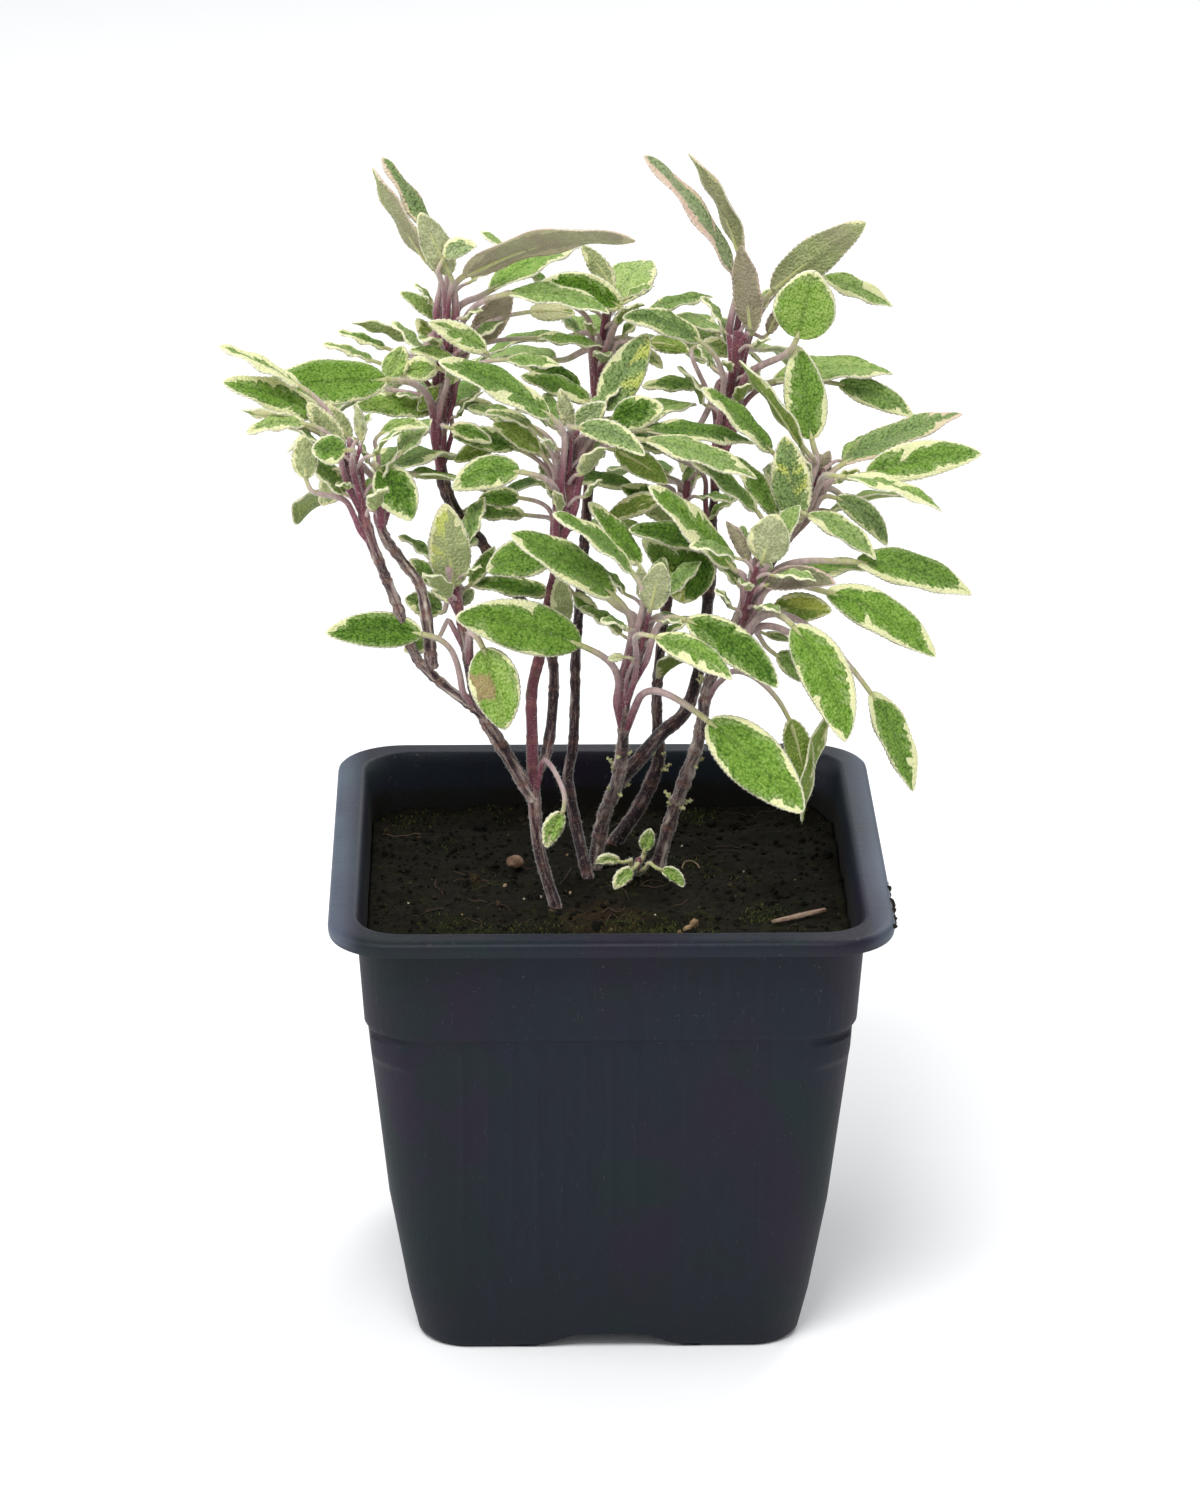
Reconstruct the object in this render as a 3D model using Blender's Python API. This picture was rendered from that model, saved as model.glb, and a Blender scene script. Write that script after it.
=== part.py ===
"""A young tricolor sage in a square nursery pot, standing in its soil.

Sizes are in millimetres and turn into metres where a mesh is made. X runs right, Y away from the
front and Z up. The origin is on the ground under the middle of the pot.

The leafy stems are read off one photograph. A place on the plant is given as it is seen there, as
pixels across and down, with its depth: its Y in millimetres. The sight line through the pixel
meets that depth in one point.
"""
import math
import random
from typing import NamedTuple

import bmesh
import bpy
from mathutils import Matrix, Vector
from mathutils.bvhtree import BVHTree

MM = 0.001
GAP = 0.3                 # clearance between pieces that rest on each other

# The eye that saw the plant
VIEW_TURN = math.radians(-1.25)
VIEW_RISE = math.radians(20.6)
VIEW_ROLL = math.radians(0.2)
VIEW_DISTANCE = 983.0
VIEW_TARGET = Vector((-1.35, 0.0, 103.2))
VIEW_FOCUS = 5416.67      # pixels
VIEW_MIDDLE = (600.0, 750.0)

# Pot, a 10 cm square nursery pot
RIM_HALF = 50.0
RIM_TOP = 86.0
WALL = 0.9
CHANNEL_HALF = 14.8
CHANNEL_HIGH = 2.8
CHANNEL_SLOPE = 0.75      # lower values make the raised channel's sides steeper
DRAIN_RADIUS = 4.0
DRAIN_REACH = 17.0        # from the middle to each outer drain hole
DRAIN_SPAN = (1.0, 6.0)
DRAIN_SIDES = 10
CORNER_STEPS = 3
# Height, half width and corner radius of the outer wall
WALL_PROFILE = (
    (0.0, 34.0, 8.6), (0.9, 34.8, 9.0), (9.0, 36.5, 9.4), (28.0, 39.5, 10.0),
    (60.5, 43.0, 10.6), (64.2, 43.2, 10.7), (65.0, 43.9, 10.9), (84.6, 45.2, 11.0),
)
# The rolled rim with its skirt: depth under its top, reach inside its edge and corner radius
RIM_PROFILE = (
    (1.1, 1.7, 11.3), (2.9, 1.2, 11.5), (2.9, 0.2, 12.0), (1.2, 0.0, 12.0),
    (0.3, 0.4, 12.0), (0.0, 1.2, 11.6), (0.0, 4.6, 8.8), (0.5, 5.3, 8.4),
)
FLOOR_CORNER = 7.4
FLUTES_PER_SIDE = 13
FLUTE_PITCH = 4.4
FLUTE_HALF = 1.1
FLUTE_FOOT = 0.05         # how far a flute stands out at its lower end
FLUTE_PROUD = 0.4
FLUTE_LEVELS = (9.0, 28.0, 60.5)
LUG_PROFILE = ((58.2, 0.1), (59.8, 0.8), (63.0, 0.8), (63.6, 0.2))
LUG_CORNER = 10.6
LUG_REACH = 3.5
SUNK = 0.3                # how far a rib or lug reaches into the wall it stands on
CREASE = math.radians(35)
ARCH_STEPS = 8

# Soil
SOIL_TOP = 75.5
SOIL_BUMP = 0.45
SOIL_EDGE_CORNER = 9.5
SOIL_RINGS = (0.86, 0.7, 0.54, 0.38, 0.22, 0.08)
ROOT_DEPTH = 14.0
HOLE_ABOVE = 4.0          # how far a stem's hole is cut above the soil

# Leaves
BLADE_THICK = 0.7
WAVE_HIGH = 0.35
STALK_RADIUS = 0.72
STEM_SIDES = 6
STATIONS_LARGE = (0.10, 0.29, 0.50, 0.72, 0.91)
STATIONS_SMALL = (0.13, 0.38, 0.66, 0.90)
STATIONS_TINY = (0.16, 0.48, 0.85)
SMALL_BLADE = 16.0        # a shorter blade has fewer stations
TINY_BLADE = 11.0
WIDE_BLADE = 7.5          # a wider blade has a midrib of its own
WIDTH_RATIO = 0.34        # least width of a blade against its length
CUP = 0.12                # rise of a wide blade's edges against its half width
LONG_STALK = 9.0          # a longer stalk has one more bend
STALK_RING = ((-0.9, 0.5), (0.9, 0.5), (0.0, -1.0))
STALK_SUNK = 1.3          # how far below its place a stalk starts inside its stem
FOOT_PULL = 0.45          # how long a stalk follows its stem, against its length
BASE_PULL = 0.35
CLEAR = 0.35              # room kept round a blade that passes another stem's leaves
BENDS = (0, 2, -2, 4, -4, 6, -6, 8, -8, 11, -11, 14, -14, 18, -18)
BASE_SHARES = (0.3, 0.0, 0.8)
TWISTS = (0, 12, -12, 25, -25, 45, -45)
TWIST_EFFORT = 0.2        # a degree of twist against a millimetre of bend
CROSSING_EFFORT = 5.0     # bend that is worth making to miss a leaf of the same stem
BACK_LIMIT = 49.5         # no leaf reaches further back than the pot's rim
SPARE_SEED = 11
SPARE_STALK = (8.0, 12.0)
SPARE_LENGTH = (19.0, 26.0)
SPARE_LIFT = (-0.6, 0.1)
SPARE_ARCH = (1.0, 3.0)
SPARE_WIDTH = 0.42

TOP = 1                   # the leaf shows its upper face to the eye
UNDER = -1                # the leaf shows its underside


class Leaf(NamedTuple):
    """One leaf as it is seen: pixels for places and widths, millimetres for depths."""
    tip: tuple
    base: tuple
    seen: float           # width as seen, in pixels
    face: int
    base_depth: float
    tip_depth: float
    bow: float            # pixels the midrib stands off its chord, up or right
    root: float           # place on the shoot's route where the stalk leaves it


class Shoot(NamedTuple):
    """A stem's route as (across, down, depth, radius), with the leaves on it."""
    route: tuple
    leaves: tuple
    spare: int            # leaves on the far side, which the eye doesn't reach


class Placed(NamedTuple):
    """A leaf in space: where it starts and ends, how it arches and which way it faces."""
    base: Vector
    tip: Vector
    arch: Vector
    width: float
    normal: Vector
    slide: Vector         # the way it may be bent clear
    foot: Vector
    rise: Vector          # the way its stalk leaves the stem


LEFT_SHOOTS = {
    "centre": Shoot(
        ((556, 907, None, 1.1), (540, 853, -8, 1.15), (534, 795, -8, 1.25), (532, 731, -7, 1.15),
         (532, 690, -6, 1.15), (541, 650, -4, 1.2), (552, 590, -2, 1.3), (565, 520, 0, 1.7),
         (570, 430, 1, 0.9)),
        (
            Leaf((438, 362), (550, 416), 30, TOP, -4, -12, 6, 7.4),
            Leaf((452, 490), (520, 472), 36, TOP, -7, -10, 8, 6.9),
            Leaf((645, 456), (578, 428), 26, TOP, -6, -10, 8, 7.9),
            Leaf((486, 572), (556, 556), 42, TOP, -8, -12, 6, 6.6),
            Leaf((648, 333), (603, 410), 42, TOP, 4, 10, 0, 7.6),
            Leaf((757, 479), (645, 440), 24, TOP, -2, -6, 6, 7.2),
            Leaf((560, 388), (571, 430), 18, UNDER, 1, 0, 0, 8.0),
            Leaf((607, 404), (577, 428), 26, TOP, 0, -2, 2, 8.0),
            Leaf((664, 408), (614, 424), 36, TOP, 2, 0, 4, 7.5),
            Leaf((484, 413), (531, 427), 13, TOP, -1, -3, 5, 7.1),
            Leaf((560, 574), (563, 626), 24, UNDER, -6, -5, 0, 5.5),
            Leaf((466, 408), (530, 425), 18, TOP, 6, 4, 3, 7.3),
            Leaf((478, 500), (520, 498), 22, TOP, 3, 3, 2, 6.8),
            Leaf((461, 512), (525, 515), 18, TOP, 6, 8, 2, 6.7),
            Leaf((755, 444), (645, 430), 20, TOP, 8, 10, 5, 7.4),
            Leaf((599, 617), (574, 594), 18, TOP, 6, 8, 0, 6.0),
            Leaf((547, 849), (563, 812), 22, TOP, -12, -13, 3, 2.5),
        ), 2),
    "left": Shoot(
        ((534, 800, -8, 1.2), (505, 752, -9, 1.25), (488, 725, -10, 1.3), (478, 711, -10, 1.6),
         (445, 686, -11, 1.6), (416, 657, -13, 1.5), (397, 605, -15, 1.1), (381, 566, -16, 1.1),
         (367, 528, -17, 1.3), (350, 450, -18, 0.8)),
        (
            Leaf((218, 346), (300, 386), 13, TOP, -14, -16, 3, 8.9),
            Leaf((222, 382), (320, 416), 32, TOP, -12, -18, 5, 8.8),
            Leaf((311, 449), (346, 450), 32, TOP, -24, -26, 0, 8.8),
            Leaf((246, 434), (306, 424), 17, TOP, -20, -24, 6, 8.6),
            Leaf((240, 410), (303, 426), 11, UNDER, -18, -22, 2, 8.7),
            Leaf((308, 402), (343, 440), 24, UNDER, -14, -14, -3, 9.0),
            Leaf((303, 434), (306, 479), 28, UNDER, -22, -22, 0, 8.2),
            Leaf((322, 506), (343, 468), 30, UNDER, -14, -12, 0, 8.5),
            Leaf((357, 404), (362, 442), 13, UNDER, -16, -15, 0, 9.0),
        ), 1),
    "second_left": Shoot(
        ((432, 668, -12, 1.2), (422, 592, -12, 1.0), (402, 561, -12, 1.0), (381, 525, -13, 1.1),
         (390, 462, -12, 0.7)),
        (
            Leaf((411, 521), (378, 468), 44, TOP, -18, -20, 3, 3.5),
            Leaf((430, 428), (380, 434), 15, TOP, -12, -10, 7, 3.9),
        ), 2),
    "side": Shoot(
        ((480, 709, -10, 1.2), (473, 690, -11, 0.9), (465, 645, -12, 0.9), (458, 604, -12, 1.0),
         (453, 565, -12, 0.7)),
        (
            Leaf((445, 503), (453, 588), 44, UNDER, -13, -13, 0, 4.0),
            Leaf((325, 633), (422, 634), 38, TOP, -15, -18, 4, 1.0),
            Leaf((505, 730), (483, 648), 52, TOP, -17, -19, 2, 2.2),
            Leaf((430, 590), (456, 603), 14, TOP, -14, -15, 2, 3.6),
            Leaf((474, 589), (459, 604), 16, TOP, -11, -11, 0, 3.6),
            Leaf((404, 600), (441, 613), 28, TOP, -10, -9, 3, 3.3),
            Leaf((404, 652), (432, 642), 20, TOP, -12, -12, 2, 2.6),
            Leaf((409, 559), (440, 588), 20, TOP, -5, -3, 2, 3.3),
            Leaf((495, 546), (470, 585), 17, TOP, -4, 0, 0, 3.2),
        ), 1),
    "tall": Shoot(
        ((535, 775, -8, 1.1), (546, 754, -5, 1.0), (552, 715, -1, 0.95), (553, 663, 4, 0.95),
         (538, 622, 7, 1.0), (505, 580, 9, 1.05), (480, 540, 10, 1.15), (456, 512, 10, 1.35),
         (442, 475, 10, 1.4), (442, 432, 10, 1.9), (447, 300, 8, 1.1)),
        (
            Leaf((252, 395), (387, 380), 48, TOP, -3, -17, 4, 8.9),
            Leaf((372, 167), (436, 270), 17, UNDER, 7, 6, -3, 9.9),
            Leaf((381, 157), (440, 250), 18, TOP, 12, 12, 2, 9.8),
            Leaf((420, 212), (450, 275), 32, UNDER, 4, 2, 0, 10.0),
            Leaf((636, 241), (464, 276), 24, UNDER, 6, -2, 16, 9.9),
            Leaf((610, 314), (508, 294), 27, TOP, 6, 2, 9, 9.55),
            Leaf((428, 322), (486, 352), 26, TOP, 0, -2, 3, 9.55),
            Leaf((512, 290), (474, 345), 32, UNDER, 14, 14, 0, 9.6),
            Leaf((399, 292), (443, 322), 18, TOP, 12, 12, 3, 9.7),
            Leaf((576, 314), (529, 312), 22, UNDER, 9, 8, 2, 9.4),
            Leaf((408, 351), (454, 362), 15, TOP, 2, 0, 4, 9.4),
            Leaf((400, 374), (438, 368), 28, TOP, 6, 4, 2, 9.1),
            Leaf((403, 345), (386, 379), 28, TOP, 8, 10, -2, 9.15),
            Leaf((351, 323), (419, 344), 12, UNDER, 16, 16, 4, 9.4),
            Leaf((337, 331), (386, 348), 10, TOP, 18, 18, 1, 9.3),
            Leaf((322, 344), (374, 361), 15, TOP, 14, 12, 2, 9.2),
            Leaf((416, 318), (440, 350), 20, UNDER, 14, 14, 0, 9.5),
            Leaf((604, 347), (535, 338), 12, TOP, 11, 12, 3, 9.3),
            Leaf((562, 366), (505, 360), 14, TOP, 7, 6, 2, 9.25),
            Leaf((492, 443), (450, 428), 20, TOP, 4, 0, 3, 9.0),
            Leaf((398, 436), (432, 428), 18, TOP, 12, 8, 2, 9.0),
        ), 3),
}

FRONT_SHOOTS = {
    "front": Shoot(
        ((594, 868, None, 1.4), (604, 816, 8, 1.35), (616, 786, 3, 1.4), (622, 752, -1, 1.35),
         (626, 704, -5, 1.6), (638, 655, -8, 1.5), (650, 606, -10, 0.9)),
        (
            Leaf((455, 617), (580, 645), 54, TOP, -11, -22, 6, 4.05),
            Leaf((803, 813), (708, 721), 60, TOP, -16, -28, 4, 4.0),
            Leaf((510, 534), (613, 595), 38, TOP, -12, -18, 5, 4.5),
            Leaf((778, 688), (686, 620), 40, TOP, -14, -20, 8, 5.0),
            Leaf((732, 680), (655, 637), 30, TOP, -20, -28, 6, 4.6),
            Leaf((552, 514), (632, 572), 18, TOP, -14, -20, 7, 5.0),
            Leaf((662, 562), (650, 610), 32, UNDER, -13, -14, 0, 6.0),
            Leaf((640, 562), (645, 606), 14, UNDER, -8, -8, 0, 6.0),
            Leaf((588, 502), (640, 566), 24, TOP, -3, 0, 3, 5.6),
            Leaf((607, 660), (624, 657), 10, TOP, -12, -14, 1, 4.6),
        ), 2),
    "tall_right": Shoot(
        ((618, 784, 3, 1.2), (640, 758, 6, 1.35), (662, 733, 10, 1.35), (686, 710, 13, 1.3),
         (701, 660, 17, 1.2), (708, 600, 19, 1.2), (712, 545, 20, 1.4), (713, 508, 20, 2.2),
         (726, 421, 20, 2.1), (739, 331, 18, 1.4)),
        (
            Leaf((643, 156), (733, 272), 19, TOP, 18, 14, 8, 9.0),
            Leaf((688, 153), (743, 262), 16, UNDER, 22, 24, 7, 9.0),
            Leaf((741, 245), (752, 333), 30, UNDER, 16, 14, 0, 9.0),
            Leaf((866, 222), (772, 292), 40, UNDER, 20, 16, 3, 8.9),
            Leaf((815, 270), (797, 338), 64, TOP, 12, 8, 0, 8.3),
            Leaf((893, 307), (822, 278), 22, TOP, 26, 28, 4, 8.5),
            Leaf((622, 318), (700, 341), 26, TOP, 14, 8, 8, 7.6),
            Leaf((914, 417), (838, 384), 28, TOP, 26, 26, 5, 7.9),
            Leaf((780, 306), (768, 334), 14, UNDER, 22, 22, 0, 8.9),
            Leaf((735, 356), (702, 345), 22, TOP, 26, 28, 3, 7.8),
            Leaf((641, 387), (700, 386), 17, TOP, 20, 18, 3, 7.5),
            Leaf((616, 437), (664, 452), 18, TOP, 14, 10, 4, 7.1),
        ), 4),
}

RIGHT_SHOOTS = {
    "right": Shoot(
        ((657, 868, None, 1.3), (674, 810, 9, 1.3), (686, 777, 6, 1.35), (697, 746, 3, 1.3),
         (703, 715, 0, 1.3), (708, 682, -3, 1.7), (727, 648, -6, 1.8), (743, 620, -8, 1.8),
         (757, 566, -10, 1.0)),
        (
            Leaf((845, 742), (793, 626), 52, TOP, -14, -24, 10, 6.9),
            Leaf((936, 657), (826, 592), 42, TOP, -8, -12, 9, 7.3),
            Leaf((913, 792), (870, 692), 34, TOP, -4, -8, 6, 6.7),
            Leaf((972, 595), (856, 562), 37, TOP, -2, 0, 8, 7.4),
            Leaf((777, 514), (762, 562), 44, UNDER, -10, -11, 0, 8.0),
            Leaf((836, 584), (764, 586), 26, TOP, -10, -12, 8, 7.7),
            Leaf((648, 486), (731, 567), 30, TOP, -6, -10, 4, 7.6),
            Leaf((726, 521), (749, 562), 16, UNDER, -8, -7, 2, 8.0),
            Leaf((805, 790), (789, 719), 30, UNDER, -10, -10, 3, 5.2),
            Leaf((802, 823), (832, 708), 13, UNDER, -6, -12, 6, 6.5),
            Leaf((832, 611), (772, 612), 32, UNDER, 0, 0, 4, 7.0),
            Leaf((815, 687), (776, 655), 26, TOP, -4, -4, 4, 6.6),
            Leaf((688, 458), (757, 511), 17, TOP, -2, -4, 4, 7.9),
            Leaf((792, 641), (765, 634), 10, TOP, -2, -2, 1, 6.9),
        ), 2),
    "upper_right": Shoot(
        ((708, 684, -2, 1.2), (728, 640, 3, 1.2), (762, 575, 7, 1.2), (800, 520, 8, 1.6),
         (824, 468, 10, 0.9)),
        (
            Leaf((785, 435), (796, 520), 42, TOP, 2, 2, 0, 3.2),
            Leaf((982, 454), (866, 474), 40, TOP, 4, 4, 5, 3.5),
            Leaf((963, 414), (843, 464), 27, TOP, 12, 16, 6, 3.7),
            Leaf((797, 345), (812, 440), 44, TOP, 10, 14, 0, 3.9),
            Leaf((942, 512), (846, 477), 15, TOP, -2, -6, 8, 3.4),
            Leaf((876, 560), (807, 515), 24, TOP, 0, -4, 8, 3.0),
            Leaf((887, 546), (836, 498), 26, TOP, 6, 6, 8, 3.2),
            Leaf((739, 360), (803, 447), 13, UNDER, 6, 4, 3, 3.8),
            Leaf((830, 450), (808, 503), 22, UNDER, 8, 8, 0, 4.0),
            Leaf((701, 388), (772, 452), 21, TOP, 6, 4, 4, 3.7),
        ), 3),
}

BACK_LEFT_SHOOTS = {
    "back_left": Shoot(
        ((588, 877, None, 1.1), (578, 835, 10, 1.1), (570, 795, 13, 1.1), (568, 774, 15, 1.05),
         (573, 746, 17, 1.0), (575, 700, 20, 1.0), (576, 650, 22, 1.0), (583, 560, 25, 1.1),
         (590, 470, 27, 1.2), (598, 375, 28, 1.6), (606, 312, 28, 0.9)),
        (
            Leaf((538, 284), (622, 308), 34, TOP, 24, 18, 8, 9.6),
            Leaf((714, 297), (647, 312), 14, TOP, 30, 32, 4, 9.8),
            Leaf((581, 245), (613, 290), 22, UNDER, 30, 32, 2, 10.0),
            Leaf((480, 231), (548, 288), 11, TOP, 30, 34, 3, 9.5),
            Leaf((690, 352), (648, 343), 20, UNDER, 26, 24, 3, 9.3),
            Leaf((663, 369), (640, 350), 14, TOP, 28, 28, 2, 9.1),
        ), 6),
}

BACK_RIGHT_SHOOTS = {
    "back_right": Shoot(
        ((612, 846, None, 1.4), (634, 815, 22, 1.4), (650, 785, 22, 1.4), (659, 758, 22, 1.3),
         (658, 735, 22, 1.1), (657, 690, 22, 1.1), (664, 620, 20, 1.1), (676, 560, 18, 1.3),
         (688, 480, 16, 0.9)),
        (
            Leaf((684, 604), (688, 547), 60, TOP, 6, 4, 0, 7.3),
            Leaf((628, 530), (712, 548), 26, TOP, 2, -2, 5, 7.1),
            Leaf((628, 498), (682, 520), 30, UNDER, 12, 10, 4, 7.5),
        ), 6),
}

SEEDLING_SHOOTS = {
    "seedling": Shoot(
        ((636, 874, None, 0.9), (637, 866, 6, 0.85), (640, 857, 6, 0.7)),
        (
            Leaf((594, 864), (620, 862), 13, TOP, 3, 0, 4, 1.2),
            Leaf((614, 890), (633, 869), 18, TOP, 2, -1, 2, 1.0),
            Leaf((651, 828), (644, 851), 17, TOP, 7, 8, 0, 2.0),
            Leaf((684, 888), (661, 870), 15, TOP, 3, 1, 4, 1.3),
        ), 0),
}

PLANT = {
    "left_stem": LEFT_SHOOTS,
    "front_stem": FRONT_SHOOTS,
    "right_stem": RIGHT_SHOOTS,
    "back_left_stem": BACK_LEFT_SHOOTS,
    "back_right_stem": BACK_RIGHT_SHOOTS,
    "seedling": SEEDLING_SHOOTS,
}

# Loose things on the soil, as seen
PEBBLE_AT = (515, 862)
PEBBLE_SIZE = (3.6, 3.0, 2.8)
PEBBLE_STANDS = 0.42      # height of its middle against its own height
CHIP_ENDS = ((772, 921), (826, 909))
CHIP_WIDE = 1.6
CHIP_THICK = 0.8


def eye():
    """Return the eye's place and its right, up and backward directions."""
    back = Vector((math.sin(VIEW_TURN) * math.cos(VIEW_RISE),
                   -math.cos(VIEW_TURN) * math.cos(VIEW_RISE), math.sin(VIEW_RISE)))
    level = Vector((math.cos(VIEW_TURN), math.sin(VIEW_TURN), 0.0))
    up = back.cross(level)
    right = level * math.cos(VIEW_ROLL) + up * math.sin(VIEW_ROLL)
    up = up * math.cos(VIEW_ROLL) - level * math.sin(VIEW_ROLL)
    return VIEW_TARGET + back * VIEW_DISTANCE, right, up, back


EYE, RIGHT, UP, BACK = eye()


def sight(across, down):
    """Return the direction in which a pixel is seen."""
    ray = RIGHT * ((across - VIEW_MIDDLE[0]) / VIEW_FOCUS)
    return ray - UP * ((down - VIEW_MIDDLE[1]) / VIEW_FOCUS) - BACK


def at_depth(pixel, depth):
    """Return the point seen at a pixel whose Y is the depth."""
    ray = sight(*pixel)
    return EYE + ray * ((depth - EYE.y) / ray.y)


def at_level(pixel, level):
    """Return the point seen at a pixel whose Z is the level."""
    ray = sight(*pixel)
    return EYE + ray * ((level - EYE.z) / ray.z)


def make_object(name, verts, faces):
    """Make a mesh object from points in millimetres, with its faces turned outwards."""
    mesh = bpy.data.meshes.new(name)
    mesh.from_pydata([tuple(Vector(v) * MM) for v in verts], [], faces)
    body = bmesh.new()
    body.from_mesh(mesh)
    bmesh.ops.recalc_face_normals(body, faces=body.faces)
    bmesh.ops.triangulate(body, faces=[f for f in body.faces if len(f.verts) > 4])
    body.to_mesh(mesh)
    body.free()
    thing = bpy.data.objects.new(name, mesh)
    bpy.context.scene.collection.objects.link(thing)
    return thing


def paint(thing, colour, roughness):
    """Shade an object smooth up to its creases and give it its one plain material."""
    thing.data.shade_smooth()
    thing.data.set_sharp_from_angle(angle=CREASE)
    material = bpy.data.materials.new(thing.name)
    material.use_nodes = True
    shader = material.node_tree.nodes["Principled BSDF"]
    shader.inputs["Base Color"].default_value = (*colour, 1.0)
    shader.inputs["Roughness"].default_value = roughness
    thing.data.materials.clear()
    thing.data.materials.append(material)


def combine(thing, others, operation, solver="EXACT"):
    """Join or cut an object with others, apply the result and remove the others."""
    group = bpy.data.collections.new("tools")
    bpy.context.scene.collection.children.link(group)
    for other in others:
        bpy.context.scene.collection.objects.unlink(other)
        group.objects.link(other)
    modifier = thing.modifiers.new(operation, "BOOLEAN")
    modifier.operand_type = "COLLECTION"
    modifier.collection = group
    modifier.operation = operation
    modifier.solver = solver
    bpy.context.view_layer.update()
    evaluated = thing.evaluated_get(bpy.context.evaluated_depsgraph_get())
    mesh = bpy.data.meshes.new_from_object(evaluated)
    thing.modifiers.remove(modifier)
    thing.data = mesh
    for other in others:
        bpy.data.objects.remove(other, do_unlink=True)
    bpy.data.collections.remove(group)


def keep_largest(thing):
    """Drop loose scraps and fill sealed hollows by keeping the largest connected surface."""
    body = bmesh.new()
    body.from_mesh(thing.data)
    waiting = set(body.verts)
    islands = []
    while waiting:
        front = [waiting.pop()]
        island = set(front)
        while front:
            for edge in front.pop().link_edges:
                for vert in edge.verts:
                    if vert in waiting:
                        waiting.discard(vert)
                        island.add(vert)
                        front.append(vert)
        islands.append(island)
    islands.sort(key=len, reverse=True)
    for island in islands[1:]:
        bmesh.ops.delete(body, geom=list(island), context="VERTS")
    body.to_mesh(thing.data)
    body.free()


def rounded_square(half, corner, level):
    """Return one ring of a square with round corners, anticlockwise from above."""
    ring = []
    for quarter in range(4):
        middle = math.pi / 4 + quarter * math.pi / 2
        reach = (half - corner) * math.sqrt(2)
        for step in range(CORNER_STEPS + 1):
            angle = quarter * math.pi / 2 + step * math.pi / 2 / CORNER_STEPS
            ring.append(Vector((reach * math.cos(middle) + corner * math.cos(angle),
                                reach * math.sin(middle) + corner * math.sin(angle), level)))
    return ring


def loft_mesh(rings):
    """Return the points and faces of the solid that joins rings of equal count."""
    count = len(rings[0])
    faces = [tuple(range(count)), tuple(range(count * (len(rings) - 1), count * len(rings)))]
    for row in range(len(rings) - 1):
        for step in range(count):
            after = (step + 1) % count
            first = row * count
            second = first + count
            faces.append((first + step, first + after, second + after, second + step))
    return [v for ring in rings for v in ring], faces


def loft(name, rings):
    """Make the solid that joins rings of equal count."""
    return make_object(name, *loft_mesh(rings))


def wall_half(level):
    """Return the outer wall's half width at a height."""
    for low, high in zip(WALL_PROFILE, WALL_PROFILE[1:]):
        if low[0] <= level <= high[0]:
            share = (level - low[0]) / (high[0] - low[0])
            return low[1] + share * (high[1] - low[1])
    return WALL_PROFILE[-1][1]


def quarter_turn(point, quarter):
    """Turn a point about the pot's axis by quarters."""
    for _ in range(quarter):
        point = Vector((-point.y, point.x, point.z))
    return point


def channel(name, half, high, along_y, reach):
    """Return one arched bar as wide and high as the raised channel in the base."""
    arch = [(-half, -1.0), (half, -1.0)]
    for step in range(ARCH_STEPS + 1):
        angle = math.pi * step / ARCH_STEPS
        arch.append((half * math.cos(angle), high * abs(math.sin(angle)) ** CHANNEL_SLOPE))
    ends = []
    for end in (-reach, reach):
        if along_y:
            ends.append([Vector((x, end, z)) for x, z in arch])
        else:
            ends.append([Vector((end, x, z)) for x, z in arch])
    return loft(name, ends)


def make_flute(side, number):
    """Return one shallow upright rib of the pot's wall."""
    middle = (number - (FLUTES_PER_SIDE - 1) / 2) * FLUTE_PITCH
    rings = []
    for level in FLUTE_LEVELS:
        face = wall_half(level)
        proud = FLUTE_PROUD if level != FLUTE_LEVELS[0] else FLUTE_FOOT
        rings.append([quarter_turn(Vector(p), side) for p in (
            (middle - FLUTE_HALF, -face + SUNK, level), (middle, -face - proud, level),
            (middle + FLUTE_HALF, -face + SUNK, level))])
    return loft("flute", rings)


def make_lug(quarter):
    """Return the stacking lug that wraps one corner under the step."""
    front_reach = Vector((0.0, LUG_REACH, 0.0))
    side_reach = Vector((LUG_REACH, 0.0, 0.0))
    rings = []
    for level, proud in LUG_PROFILE:
        half = wall_half(level)
        outer = rounded_square(half + proud, LUG_CORNER + proud, level)[:CORNER_STEPS + 1]
        inner = rounded_square(half - SUNK, LUG_CORNER - SUNK, level)[:CORNER_STEPS + 1]
        ring = [outer[0] - front_reach, *outer, outer[-1] - side_reach,
                inner[-1] - side_reach, *reversed(inner), inner[0] - front_reach]
        rings.append([quarter_turn(point, quarter) for point in ring])
    return loft("lug", rings)


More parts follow.
